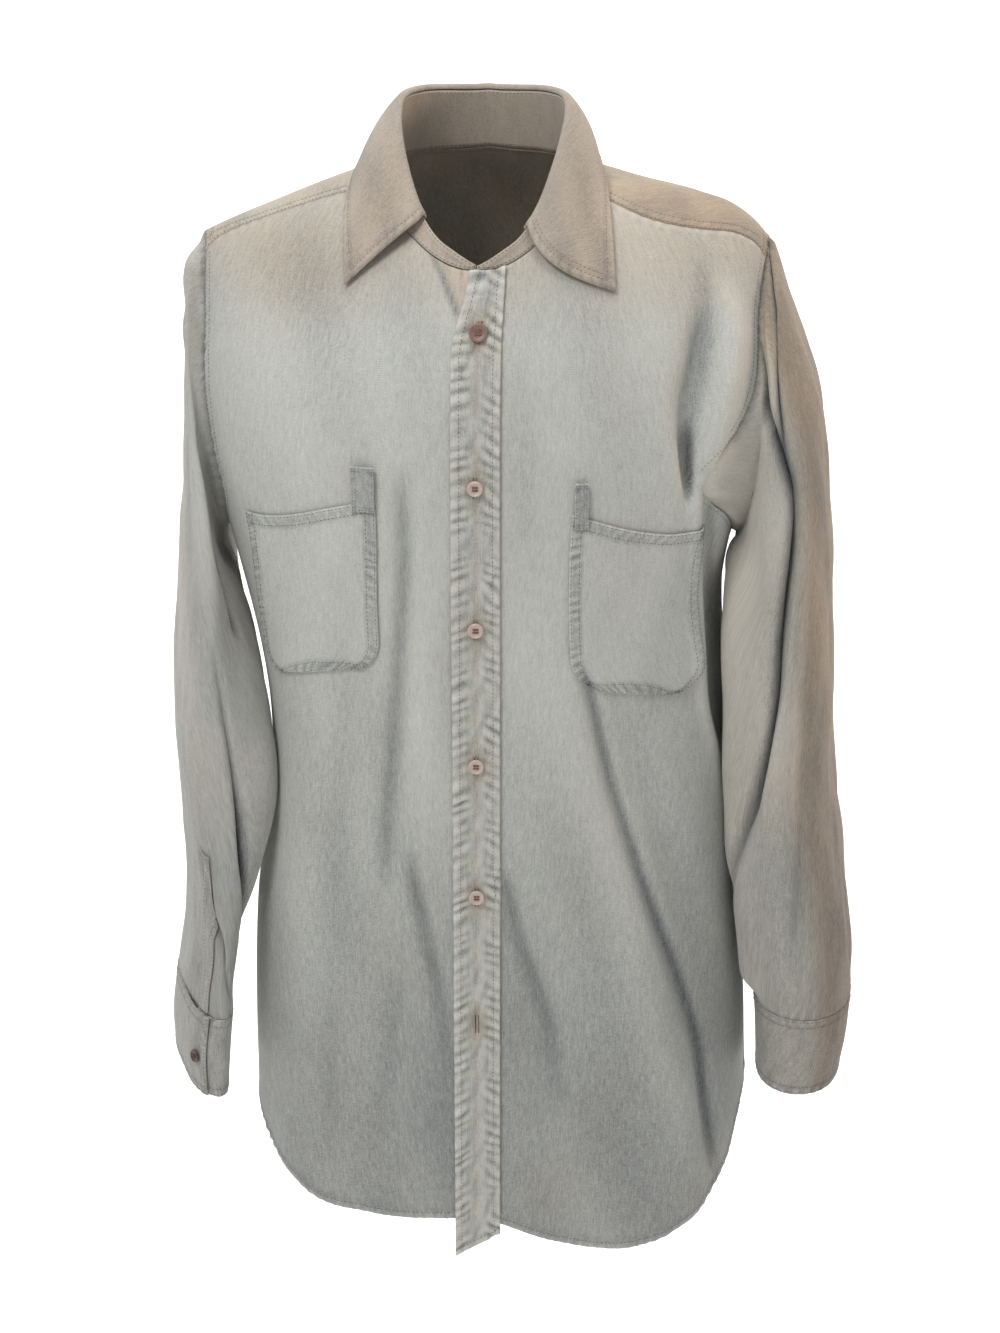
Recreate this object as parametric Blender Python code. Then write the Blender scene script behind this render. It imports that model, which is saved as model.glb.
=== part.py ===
"""A man's long-sleeved denim shirt, held in the form it has when worn, with nobody in it.

Metres, +Z up. The shirt's front faces -Y and the wearer's left is at +X. The origin lies at the middle of the
neck opening, level with the tops of the shoulders. Every piece that is cut and sewn is a wall of cloth of its
own: a grid of points on a surface worked out from the sizes below, with the cloth's thickness around it.

The body's cloth lies on one surface, body_point(), whose level sections are superellipses that round over at
the shoulder ridge. A piece is a patch of that surface between four edges, so neighbours share their seams.
"""

import math

import bmesh
import bpy
import numpy as np

# --- cloth -------------------------------------------------------------------------------------------------
CLOTH = 0.0013  # wall of one layer of denim with its seam allowances
DOUBLE = 0.0017  # wall of a doubled piece: collar, cuff, placket
SEAM = 0.0004  # gap between pieces that are sewn together
LIFT = 0.0008  # gap under a piece that lies on a panel

# --- body --------------------------------------------------------------------------------------------------
SQUARENESS = 2.5  # exponent of the level sections: 2 is an ellipse, more is squarer
RIDGE_Y = 0.012  # the shoulder ridge runs a little behind the origin
ROUND_FRONT = 0.20  # drop below the ridge over which the front reaches its full depth
ROUND_BACK = 0.16
ARM_TOP, ARM_BOTTOM = -0.0555, -0.275  # z of the shoulder point and of the underarm
ARM_STEPS = 24  # points round an armhole, and round a sleeve
ARM_DEPTH = 0.40  # how far the armhole cuts in from the side, as an angle of the section

# drop below the origin, half-width on the wearer's right and left, depth in front of and behind the ridge
BODY = np.array([
    (-0.02, 0.206, 0.206, 0.137, 0.130),
    (0.055, 0.207, 0.207, 0.137, 0.130),
    (0.100, 0.2135, 0.209, 0.137, 0.130),
    (0.150, 0.2175, 0.212, 0.137, 0.132),
    (0.200, 0.211, 0.204, 0.138, 0.133),
    (0.250, 0.199, 0.190, 0.138, 0.131),
    (0.310, 0.185, 0.180, 0.137, 0.127),
    (0.370, 0.173, 0.183, 0.136, 0.122),
    (0.430, 0.166, 0.188, 0.135, 0.118),
    (0.500, 0.168, 0.194, 0.135, 0.117),
    (0.570, 0.179, 0.199, 0.136, 0.119),
    (0.650, 0.186, 0.206, 0.137, 0.123),
    (0.750, 0.188, 0.212, 0.137, 0.126),
    (0.860, 0.188, 0.213, 0.136, 0.127),
])
DROP, HALF_RIGHT, HALF_LEFT, DEPTH_FRONT, DEPTH_BACK = BODY.T

# distance from the centre, height of the shoulder ridge there: the left shoulder is the squarer one
RIDGE_RIGHT = np.array([(0.0, 0.0095), (0.04, 0.004), (0.07, -0.002), (0.10, -0.0115), (0.15, -0.031),
                        (0.207, -0.0555), (0.23, -0.068)])
RIDGE_LEFT = np.array([(0.0, 0.0095), (0.04, 0.004), (0.07, -0.002), (0.113, -0.0135), (0.157, -0.0240),
                       (0.183, -0.0335), (0.199, -0.0460), (0.207, -0.0555), (0.23, -0.0840)])

# --- neck and collar ---------------------------------------------------------------------------------------
NECK_HALF, NECK_DEPTH, NECK_Y = 0.070, 0.072, -0.019  # the neckline from above is an oval
PINCH_RIGHT, PINCH_LEFT = 0.01, 0.06  # by which the oval narrows towards the front, on either side
NECK_SIDE = math.radians(82)  # where the front's neckline ends at the yoke seam
STAND_GAP = CLOTH / 2 + 0.0003
# angle round the neck from the front, stand's height, how far its top leans in
STAND = np.array([(0, 0.0115, 0.001), (25, 0.0130, 0.005), (42, 0.0185, 0.008), (60, 0.0300, 0.010),
                  (90, 0.0450, 0.011), (130, 0.0460, 0.010), (180, 0.0430, 0.008)])
LEAF_START_RIGHT, LEAF_START_LEFT = 3, 4  # points of the stand in from its ends where the leaf begins
STAND_END = -0.0025  # x of the stand's left end, above the placket
ROLL = 0.0030  # radius of the fold between stand and leaf
LEAF_LIFT = 0.0040  # the leaf's outer edge stays this far above the cloth under it
# share of the way along the leaf from its right point to its left one, plan place of its outer edge
LEAF_EDGE = np.array([(0.0, -0.0930, -0.0830), (0.12, -0.0960, -0.0500), (0.24, -0.0930, -0.0100),
                      (0.36, -0.0760, 0.0450), (0.50, 0.0, 0.0760), (0.64, 0.0700, 0.0450),
                      (0.76, 0.0850, -0.0100), (0.88, 0.0910, -0.0500), (1.0, 0.0955, -0.0840)])
LEAF_SWELL = np.array([-0.0085, -0.0030, -0.0060])  # the left end's front edge swells by this

# --- fronts ------------------------------------------------------------------------------------------------
PLACKET_HALF = 0.0175
EDGE = 0.0112  # the two fronts meet under the placket, this far to the left of the centre
OPEN_TOP, OPEN_BOTTOM = -0.055, -0.118  # z between which the fronts part above the first button
PART_RIGHT, PART_LEFT = -0.0180, 0.0140  # how far each front has moved at the top
YOKE_BOW_RIGHT, YOKE_BOW_LEFT = 0.000, -0.020  # forward bow of the front yoke seams
YOKE_END = 2  # the front yoke seam meets the armhole this many points below the shoulder
BACK_YOKE_END = 5  # and the back one this many
BACK_YOKE_Z = -0.112
# distance from the centre, z of the hem: right front, left front, back
HEM_RIGHT = np.array([(0.0, -0.812), (0.09, -0.815), (0.13, -0.813), (0.155, -0.801), (0.172, -0.785),
                      (0.188, -0.765)])
HEM_LEFT = np.array([(0.015, -0.816), (0.055, -0.831), (0.09, -0.8405), (0.13, -0.8440), (0.155, -0.838),
                     (0.178, -0.824), (0.198, -0.790), (0.212, -0.752)])
HEM_BACK = np.array([(0.0, -0.850), (0.09, -0.846), (0.14, -0.830), (0.17, -0.803), (0.19, -0.775),
                     (0.212, -0.752)])
PLACKET_HEM_RIGHT, PLACKET_HEM_LEFT = -0.846, -0.824  # the placket's lower end slants
# row of the grid, z at the centre front: rows above the underarm are closer together
FRONT_ROWS = np.array([(0, -0.058), (7, -0.222), (13, -0.352), (23, -0.812)])
SIDE_ROWS = 13  # rows from the underarm to the hem
NECK_COLS, SEAM_COLS = 6, 9  # columns of a front under the neckline and under the yoke seam
BACK_NECK_COLS = 10

# --- pockets and buttons -----------------------------------------------------------------------------------
POCKET_COLS, POCKET_ROWS = (6, 13), (7, 13)  # columns and rows of the front that a pocket covers
# x and z of a pocket's corners: top inner, top outer, bottom inner, bottom outer
POCKET_RIGHT = np.array([(-0.0715, -0.218), (-0.170, -0.242), (-0.0690, -0.347), (-0.160, -0.374)])
POCKET_LEFT = np.array([(0.0685, -0.2265), (0.162, -0.247), (0.0690, -0.358), (0.164, -0.378)])
CORNER = 0.34  # share of a cell that the rounded lower corners take off
# a strip's x at its inner edge and at its outer one, z of its top and of its foot
STRIP_RIGHT = (-0.0715, -0.0880, -0.1935, -0.2265)
STRIP_LEFT = (0.0700, 0.0795, -0.2030, -0.2370)
BUTTON_RADIUS, BUTTON_HEIGHT, BUTTON_LIFT = 0.0058, 0.0026, 0.0006
FIRST_BUTTON_Z, BUTTON_PITCH, BUTTONS = -0.099, 0.1075, 5

# --- sleeves -----------------------------------------------------------------------------------------------
# outer edge x and z, inner edge x and z, middle y, half-depth, turn in degrees (front edge towards the body)
SLEEVE_RIGHT = np.array([
    (0.2165, -0.077, 0.2025, -0.279, 0.011, 0.063, 0),
    (0.2200, -0.111, 0.2015, -0.290, 0.010, 0.071, 1),
    (0.2240, -0.158, 0.1985, -0.304, 0.008, 0.079, 3),
    (0.2290, -0.215, 0.1920, -0.320, 0.004, 0.085, 6),
    (0.2350, -0.275, 0.1865, -0.342, 0.001, 0.086, 8),
    (0.2410, -0.335, 0.1805, -0.372, -0.003, 0.085, 10),
    (0.2450, -0.395, 0.1755, -0.412, -0.009, 0.082, 12),
    (0.2450, -0.450, 0.1745, -0.458, -0.016, 0.079, 14),
    (0.2425, -0.505, 0.1785, -0.508, -0.024, 0.075, 16),
    (0.2405, -0.555, 0.1840, -0.556, -0.033, 0.070, 18),
    (0.2430, -0.602, 0.1915, -0.603, -0.042, 0.065, 20),
    (0.2490, -0.650, 0.1955, -0.650, -0.050, 0.061, 22),
])
SLEEVE_LEFT = np.array([
    (0.2170, -0.076, 0.1930, -0.280, 0.010, 0.064, 0),
    (0.2285, -0.110, 0.1925, -0.293, 0.009, 0.073, 0),
    (0.2465, -0.157, 0.1930, -0.305, 0.007, 0.080, 0),
    (0.2550, -0.212, 0.1925, -0.321, 0.005, 0.086, 0),
    (0.2605, -0.272, 0.1930, -0.343, 0.003, 0.086, 1),
    (0.2645, -0.332, 0.1945, -0.373, 0.001, 0.085, 2),
    (0.2680, -0.392, 0.1965, -0.412, -0.002, 0.083, 3),
    (0.2700, -0.448, 0.1995, -0.457, -0.005, 0.080, 4),
    (0.2765, -0.503, 0.2060, -0.507, -0.009, 0.076, 5),
    (0.2835, -0.555, 0.2145, -0.556, -0.013, 0.071, 5),
    (0.2895, -0.603, 0.2210, -0.604, -0.017, 0.066, 5),
    (0.2920, -0.652, 0.2250, -0.652, -0.020, 0.061, 5),
])
FLATNESS = 0.8  # exponent of the ring's depth: below one is flatter in front and behind
SLEEVE_RINGS = 19
CUFF_RIGHT = np.array([(0.2525, -0.684, 0.1985, -0.684, -0.055, 0.058, 23),
                       (0.2520, -0.717, 0.2005, -0.717, -0.058, 0.056, 24)])
CUFF_LEFT = np.array([(0.2900, -0.686, 0.2265, -0.686, -0.022, 0.058, 5),
                      (0.2850, -0.719, 0.2270, -0.719, -0.023, 0.056, 5)])
CUFF_LAP = 2  # points by which the cuff's ends overlap
CUFF_STEP = 0.0026  # the upper end lies this far outside the lower one
SLIT_RIGHT, SLIT_LEFT = 3, 17  # ring point at the sleeve's slit and the cuff's lap
PLACKET_RINGS = 4  # rings of the sleeve that its placket covers

# --- folds -------------------------------------------------------------------------------------------------
# a fold is a soft trough or ridge along a line: x and z at its top, x and z at its foot, sideways bow,
# half-width, depth (below nought is a ridge)
FRONT_FOLDS = np.array([
    (-0.047, -0.195, -0.068, -0.530, 0.004, 0.015, 0.0060),
    (-0.028, -0.240, -0.040, -0.520, 0.003, 0.018, -0.0030),
    (-0.050, -0.520, -0.068, -0.720, -0.006, 0.018, 0.0040),
    (0.072, -0.330, 0.187, -0.790, 0.012, 0.016, 0.0085),
    (0.045, -0.360, 0.150, -0.790, 0.010, 0.026, -0.0050),
    (0.022, -0.545, 0.060, -0.700, 0.008, 0.013, 0.0035),
    (0.150, -0.080, 0.148, -0.225, -0.008, 0.018, 0.0080),
    (0.178, -0.090, 0.163, -0.190, 0.006, 0.014, -0.0060),
    (-0.130, -0.400, -0.142, -0.760, -0.006, 0.030, -0.0040),
])
BACK_FOLDS = np.array([
    (-0.060, -0.190, -0.085, -0.640, 0.010, 0.020, 0.0070),
    (0.020, -0.300, 0.010, -0.780, -0.008, 0.022, 0.0060),
    (0.085, -0.170, 0.120, -0.600, -0.010, 0.020, 0.0080),
    (-0.125, -0.330, -0.150, -0.760, 0.006, 0.022, 0.0050),
    (0.050, -0.420, 0.065, -0.800, 0.006, 0.024, -0.0050),
])
# a sleeve's fold: turn round the ring at its top and foot (0 outer edge, 0.25 front, 0.5 inner, 0.75 back),
# share of the sleeve's length at its top and foot, half-width in turns, depth
SLEEVE_RIGHT_FOLDS = np.array([(0.13, 0.22, 0.50, 1.00, 0.070, 0.005), (0.33, 0.30, 0.28, 0.85, 0.08, 0.005),
                               (0.70, 0.80, 0.20, 0.75, 0.08, 0.006), (0.92, 0.95, 0.10, 0.60, 0.07, 0.004)])
SLEEVE_LEFT_FOLDS = np.array([(0.17, 0.38, 0.02, 0.85, 0.055, 0.009), (0.68, 0.78, 0.20, 0.80, 0.08, 0.007),
                              (0.88, 0.95, 0.10, 0.55, 0.07, 0.004)])

DENIM = (0.46, 0.48, 0.46)
DENIM_WORN = (0.50, 0.49, 0.45)
DENIM_DARK = (0.36, 0.37, 0.42)
BUTTON_BROWN = (0.13, 0.07, 0.05)
BUTTON_PINK = (0.55, 0.42, 0.36)


def smooth(at, knots, values):
    """A curve through a table's rows: cubic pieces with central-difference slopes, flat beyond the ends."""
    knots, values = np.asarray(knots, float), np.asarray(values, float)
    slopes = np.gradient(values, knots)
    at = np.clip(at, knots[0], knots[-1])
    low = np.clip(np.searchsorted(knots, at, side="right") - 1, 0, len(knots) - 2)
    gap = knots[low + 1] - knots[low]
    t = (at - knots[low]) / gap
    return ((1 + 2 * t) * (1 - t) ** 2 * values[low] + t * (1 - t) ** 2 * gap * slopes[low]
            + t * t * (3 - 2 * t) * values[low + 1] + t * t * (t - 1) * gap * slopes[low + 1])


def unit(vectors):
    """Vectors scaled to length one."""
    return vectors / np.maximum(np.linalg.norm(vectors, axis=-1, keepdims=True), 1e-12)


def ease(t):
    """Nought to one with level ends."""
    t = np.clip(t, 0, 1)
    return t * t * (3 - 2 * t)


# --- the body's surface ------------------------------------------------------------------------------------
def half_width(sign, z):
    """Half-width of the level section at z, on the side that sign points to."""
    return np.where(sign < 0, smooth(-z, DROP, HALF_RIGHT), smooth(-z, DROP, HALF_LEFT))


def reach(phi, z, back):
    """How far the section at angle phi lies in front of or behind the ridge, before rounding."""
    depth = np.where(back, smooth(-z, DROP, DEPTH_BACK), smooth(-z, DROP, DEPTH_FRONT))
    return depth * np.abs(np.cos(phi)) ** (2 / SQUARENESS)


def section_x(phi, z):
    """x of the section's point at angle phi, which runs from -90 degrees at the right side to 90."""
    return np.sign(phi) * half_width(phi, z) * np.abs(np.sin(phi)) ** (2 / SQUARENESS)


def section_angle(x, z):
    """The angle of the section at which it has this x."""
    share = np.clip(np.abs(x) / half_width(x, z), 0, 1)
    return np.sign(x) * np.arcsin(share ** (SQUARENESS / 2))


def ridge_height(x):
    """Height of the shoulder ridge at x."""
    right = smooth(-x, RIDGE_RIGHT[:, 0], RIDGE_RIGHT[:, 1])
    return np.where(x < 0, right, smooth(x, RIDGE_LEFT[:, 0], RIDGE_LEFT[:, 1]))


def body_point(phi, z, back):
    """A point of the body: the superellipse at z, drawn in towards the ridge along a quarter ellipse."""
    x = section_x(phi, z)
    rounding = np.where(back, ROUND_BACK, ROUND_FRONT)
    t = np.clip((ridge_height(x) - z) / rounding, 0, 1)
    side = np.where(back, 1.0, -1.0)
    y = RIDGE_Y + side * reach(phi, z, back) * np.sqrt(1 - (1 - t) ** 2)
    return np.stack(np.broadcast_arrays(x, y, z), axis=-1)


def over_point(phi, psi):
    """The same surface near the ridge, by the angle psi over it: below nought in front, above behind."""
    back = psi > 0
    rounding = np.where(back, ROUND_BACK, ROUND_FRONT)
    z = np.full(np.broadcast(phi, psi).shape, ARM_TOP)
    for _ in range(8):
        x = section_x(phi, z)
        z = ridge_height(x) - rounding * (1 - np.cos(psi))
    y = RIDGE_Y + reach(phi, z, back) * np.sin(psi)
    return np.stack(np.broadcast_arrays(x, y, z), axis=-1)


def over_angle(phi, z, back):
    """psi of the point of the body at angle phi and height z."""
    rounding = np.where(back, ROUND_BACK, ROUND_FRONT)
    t = np.clip((ridge_height(section_x(phi, z)) - z) / rounding, 0, 1)
    return np.where(back, 1, -1) * np.arccos(1 - t)


def height_at(x, y):
    """z of the upper body above the plan point x, y, and its section angle."""
    back = y > RIDGE_Y
    rounding = np.where(back, ROUND_BACK, ROUND_FRONT)
    z = np.full(np.shape(x), ARM_TOP)
    for _ in range(12):
        phi = section_angle(x, z)
        share = np.clip(np.abs(y - RIDGE_Y) / np.maximum(reach(phi, z, back), 1e-6), 0, 1)
        z = ridge_height(x) - rounding * (1 - np.sqrt(1 - share ** 2))
    return z, section_angle(x, z)


LIMIT = math.pi / 2 - 0.10  # normals are taken a little inside the section's ends


def outward(a, b, low, high):
    """Unit normal across two neighbouring directions a and b of a surface."""
    return unit(np.cross(high - low, b - a))


def body_normal(phi, z, back):
    """Outward normal of the body, from small steps along the section and up."""
    step = 0.01
    angle = np.clip(phi, -LIMIT, LIMIT) if np.ndim(z) == 0 else phi
    left = body_point(np.minimum(angle + step, math.pi / 2), z, back)
    right = body_point(np.maximum(angle - step, -math.pi / 2), z, back)
    above = body_point(np.clip(angle, -LIMIT, LIMIT), z + 0.002, back)
    below = body_point(np.clip(angle, -LIMIT, LIMIT), z - 0.002, back)
    normal = unit(np.cross(left - right, above - below))
    return normal * np.where(back, -1.0, 1.0)[..., None]


def over_normal(phi, psi):
    """Outward normal near the ridge, from small steps along the section and over the ridge."""
    phi = np.clip(phi, -LIMIT, LIMIT)
    along = over_point(phi + 0.01, psi) - over_point(phi - 0.01, psi)
    across = over_point(phi, psi + 0.01) - over_point(phi, psi - 0.01)
    return unit(np.cross(along, across))


def fold_depth(point, back):
    """Sum of the folds at points of the body: each a bell across its line, fading out at its two ends."""
    x, z = point[..., 0], point[..., 2]
    total = np.zeros(x.shape)
    for folds, on in ((FRONT_FOLDS, ~back), (BACK_FOLDS, back)):
        for x0, z0, x1, z1, bow, half, depth in folds:
            t = (z0 - z) / (z0 - z1)
            line = x0 + (x1 - x0) * t + bow * np.sin(math.pi * np.clip(t, 0, 1))
            fade = ease((t + 0.06) / 0.25) * ease((1.06 - t) / 0.25)
            total += np.where(on, depth * np.exp(-((x - line) / half) ** 2) * fade, 0)
    near_side = ease((point[..., 2] - ARM_TOP + 0.01) / -0.05)
    return total * near_side


def on_body(phi, z, back, lift=0.0):
    """Body points with their folds, moved out by lift, and their normals."""
    back = np.broadcast_to(back, np.broadcast(phi, z).shape)
    point, normal = body_point(phi, z, back), body_normal(phi, z, back)
    return point + normal * (lift - fold_depth(point, back))[..., None], normal


def on_yoke(phi, psi):
    """The same near the ridge."""
    point, normal = over_point(phi, psi), over_normal(phi, psi)
    return point - normal * fold_depth(point, psi > 0)[..., None], normal


# --- edges of the pieces, as pairs of section angle and height ---------------------------------------------
def armhole(sign):
    """The armhole from the shoulder point down the front, round the underarm and up the back."""
    turn = np.arange(ARM_STEPS) * 2 * math.pi / ARM_STEPS
    middle, half = (ARM_TOP + ARM_BOTTOM) / 2, (ARM_TOP - ARM_BOTTOM) / 2
    z = middle + half * np.cos(turn)
    back = turn > math.pi + 1e-6
    scoop = (0.28 if sign > 0 else 0.10) * np.exp(-((z + 0.245) / 0.028) ** 2) * ~back
    return sign * (math.pi / 2 - (ARM_DEPTH + scoop) * np.abs(np.sin(turn))), z, back


def neck_plan(turn):
    """x and y of the neckline at angles from the front."""
    pinch = np.where(np.sin(turn) < 0, PINCH_RIGHT, PINCH_LEFT) * np.clip(np.cos(turn), 0, 1)
    return NECK_HALF * (1 - pinch) * np.sin(turn), NECK_Y - NECK_DEPTH * np.cos(turn)


def neck_turn_at(x):
    """Angle from the front at which the neckline has this x."""
    turn = np.linspace(-NECK_SIDE, NECK_SIDE, 400)
    return np.interp(x, neck_plan(turn)[0], turn)


def front_top(sign):
    """The front's upper edge, from the centre along the neckline and the yoke seam to the armhole."""
    start = neck_turn_at(front_edge(sign, np.array(OPEN_TOP)))
    turn = np.linspace(start, sign * NECK_SIDE, NECK_COLS + 1)
    x, y = neck_plan(turn)
    phi, z, _ = armhole(sign)
    end = body_point(phi[YOKE_END], z[YOKE_END], False)
    t = np.linspace(0, 1, SEAM_COLS + 1)[1:]
    bow = YOKE_BOW_RIGHT if sign < 0 else YOKE_BOW_LEFT
    seam_x = x[-1] + (end[0] - x[-1]) * t
    seam_y = y[-1] + (end[1] - y[-1]) * t + bow * np.sin(math.pi * t)
    top, angle = height_at(np.append(x, seam_x), np.append(y, seam_y))
    top[-1], angle[-1] = z[YOKE_END], phi[YOKE_END]
    return angle, top


def front_edge(sign, z):
    """x of a front's centre edge: straight, but parted above the first button."""
    parted = ease((z - OPEN_BOTTOM) / (OPEN_TOP - OPEN_BOTTOM))
    return EDGE + sign * SEAM / 2 + parted * (PART_RIGHT if sign < 0 else PART_LEFT)


def side_heights(sign):
    """z of the rows at the side seam, from the underarm to the hem."""
    hem = HEM_RIGHT[-1, 1] if sign < 0 else HEM_LEFT[-1, 1]
    return np.linspace(ARM_BOTTOM, hem, SIDE_ROWS + 1)


def hem_heights(phi, hem, sides):
    """z at the hem for section angles: the table by distance from the centre, ending at the side seam."""
    z = np.full(phi.shape, -0.80)
    for _ in range(4):
        z = smooth(np.abs(section_x(phi, z)), hem[:, 0], hem[:, 1])
    z[np.abs(phi) > math.pi / 2 - 1e-6] = sides
    return z


def coons(top, bottom, first, last):
    """A grid between four edges: the two ruled blends less the corners' blend. Edges are (points, 2)."""
    v = np.linspace(0, 1, len(first))[:, None, None]
    u = np.linspace(0, 1, len(top))[None, :, None]
    ruled = (1 - v) * top[None] + v * bottom[None] + (1 - u) * first[:, None] + u * last[:, None]
    corners = ((1 - u) * (1 - v) * top[0] + u * (1 - v) * top[-1]
               + (1 - u) * v * bottom[0] + u * v * bottom[-1])
    return ruled - corners


def front_grid(sign):
    """Section angles and heights of a front's rows and columns, from the centre edge to the side."""
    phi, z, _ = armhole(sign)
    top = np.stack(front_top(sign), axis=1)
    rows = np.arange(int(FRONT_ROWS[-1, 0]) + 1)
    centre_z = smooth(rows, FRONT_ROWS[:, 0], FRONT_ROWS[:, 1])
    foot_z = HEM_RIGHT[0, 1] if sign < 0 else HEM_LEFT[0, 1]
    centre_z = top[0, 1] + (centre_z - centre_z[0]) * (foot_z - top[0, 1]) / (centre_z[-1] - centre_z[0])
    centre = np.stack([section_angle(front_edge(sign, centre_z), centre_z), centre_z], axis=1)
    centre[0] = top[0]
    side_z = side_heights(sign)[1:]
    down = slice(YOKE_END, ARM_STEPS // 2 + 1)
    side = np.concatenate([np.stack([phi[down], z[down]], axis=1),
                           np.stack([np.full(side_z.shape, sign * math.pi / 2), side_z], axis=1)])
    share = (np.abs(top[:, 0]) - abs(top[0, 0])) / (abs(top[-1, 0]) - abs(top[0, 0]))
    foot = centre[-1, 0] + (sign * math.pi / 2 - centre[-1, 0]) * share
    hem = np.stack([foot, hem_heights(foot, HEM_RIGHT if sign < 0 else HEM_LEFT, side_z[-1])], axis=1)
    hem[0] = centre[-1]
    pocket = POCKET_RIGHT if sign < 0 else POCKET_LEFT
    corners = np.stack([section_angle(pocket[:, 0], pocket[:, 1]), pocket[:, 1]], axis=1)
    (c0, c1), (r0, r1) = POCKET_COLS, POCKET_ROWS
    lines = [centre]
    for col, upper, lower in ((c0, corners[0], corners[2]), (c1, corners[1], corners[3])):
        knots = np.stack([top[col], upper, lower, hem[col]])
        lines.append(np.stack([smooth(rows, (0, r0, r1, rows[-1]), knots[:, k]) for k in (0, 1)], axis=1))
    lines.append(side)
    cols = np.arange(len(top))
    grid = np.array([[smooth(cols, (0, c0, c1, cols[-1]), [line[r, k] for line in lines]) for k in (0, 1)]
                     for r in rows]).transpose(0, 2, 1)
    down = (rows / rows[-1])[:, None, None]
    return grid + (1 - down) ** 3 * (top - grid[0]) + down ** 3 * (hem - grid[-1])


def back_seam():
    """The back yoke seam, from the right armhole to the left, as section angles and heights."""
    lower = ARM_STEPS - BACK_YOKE_END
    ends = [abs(armhole(s)[0][lower]) for s in (-1, 1)]
    z_end = armhole(1)[1][lower]
    z = np.full(2 * SEAM_COLS + BACK_NECK_COLS + 1, BACK_YOKE_Z)
    x = np.linspace(*(s * section_x(end, z_end) for s, end in zip((-1, 1), ends)), len(z))
    phi = section_angle(x, z)
    phi[0], phi[-1] = -ends[0], ends[1]
    share = np.abs(phi) / np.where(phi < 0, ends[0], ends[1])
    return phi, BACK_YOKE_Z + (z_end - BACK_YOKE_Z) * share ** 3


def neck_back():
    """The neckline round the back, between the two front yoke seams, as section angles and heights."""
    x, y = neck_plan(np.linspace(-NECK_SIDE, NECK_SIDE - 2 * math.pi, BACK_NECK_COLS + 1))
    z, phi = height_at(x, y)
    return phi, z, y > RIDGE_Y


def yoke_grid():
    """Section angles and over-the-ridge angles of the yoke, rows from front to back, columns right to left."""
    right, left = (np.stack(front_top(s), axis=1) for s in (-1, 1))
    neck = np.stack(neck_back()[:2], axis=1)
    front = np.concatenate([right[:NECK_COLS:-1], neck, left[NECK_COLS + 1:]])
    behind = np.concatenate([np.zeros(SEAM_COLS, bool), neck_back()[2], np.zeros(SEAM_COLS, bool)])
    front_psi = over_angle(front[:, 0], front[:, 1], behind)
    seam_phi, seam_z = back_seam()
    back_psi = over_angle(seam_phi, seam_z, np.ones(seam_z.shape, bool))
    order = np.r_[YOKE_END:-1:-1, ARM_STEPS - 1:ARM_STEPS - BACK_YOKE_END - 1:-1]
    ends = []
    for sign in (-1, 1):
        phi, z, back = armhole(sign)
        psi = over_angle(phi[order], z[order], back[order])
        ends.append(np.stack([phi[order], psi], axis=1))
    return coons(np.stack([front[:, 0], front_psi], axis=1), np.stack([seam_phi, back_psi], axis=1), *ends)


def back_grid():
    """Section angles and heights of the back, from the right side to the left."""
    top = np.stack(back_seam(), axis=1)
    edges = []
    for sign in (-1, 1):
        phi, z, _ = armhole(sign)
        up = np.arange(ARM_STEPS - BACK_YOKE_END, ARM_STEPS // 2 - 1, -1)
        side_z = side_heights(sign)[1:]
        edges.append(np.concatenate([np.stack([phi[up], z[up]], axis=1),
                                     np.stack([np.full(side_z.shape, sign * math.pi / 2), side_z], axis=1)]))
    foot = top[:, 0] * (math.pi / 2) / np.where(top[:, 0] < 0, abs(top[0, 0]), abs(top[-1, 0]))
    z = hem_heights(foot, HEM_BACK, 0)
    z[0], z[-1] = edges[0][-1, 1], edges[1][-1, 1]
    return coons(top, np.stack([foot, z], axis=1), *edges)


# --- walls -------------------------------------------------------------------------------------------------
def drawn_in(points, sides, by=SEAM / 2):
    """The grid with the named edges moved in towards their neighbours, which opens the seams."""
    points = points.copy()
    if "top" in sides:
        points[0] += unit(points[1] - points[0]) * by
    if "bottom" in sides:
        points[-1] += unit(points[-2] - points[-1]) * by
    if "first" in sides:
        points[:, 0] += unit(points[:, 1] - points[:, 0]) * by
    if "last" in sides:
        points[:, -1] += unit(points[:, -2] - points[:, -1]) * by
    return points


def wall(name, middle, normal, thickness, colour, closed=False):
    """A wall of cloth on a grid of middle points. Both skins take the shorter diagonal of each cell."""
    rows, cols = middle.shape[:2]
    outer = (middle + normal * thickness / 2).reshape(-1, 3)
    inner = (middle - normal * thickness / 2).reshape(-1, 3)
    flat = middle.reshape(-1, 3)
    count = rows * cols
    faces = []
    for r in range(rows - 1):
        for c in range(cols if closed else cols - 1):
            n = (c + 1) % cols
            a, b, d, e = r * cols + c, r * cols + n, (r + 1) * cols + n, (r + 1) * cols + c
            if np.linalg.norm(flat[a] - flat[d]) <= np.linalg.norm(flat[b] - flat[e]):
                pair = ((a, b, d), (a, d, e))
            else:
                pair = ((a, b, e), (b, d, e))
            for triangle in pair:
                faces.append(triangle)
                faces.append(tuple(i + count for i in reversed(triangle)))
    rims = [[r * cols + c for c in range(cols)] for r in (0, rows - 1)]
    loops = [(rim, closed) for rim in rims]
    if not closed:
        loops += [([r * cols + c for r in range(rows)], False) for c in (0, cols - 1)]
    for loop, round_it in loops:
        for i, j in zip(loop, loop[1:] + (loop[:1] if round_it else [])):
            faces += [(i, j, j + count), (i, j + count, i + count)]
    return solid(name, np.concatenate([outer, inner]), faces, colour)


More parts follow.
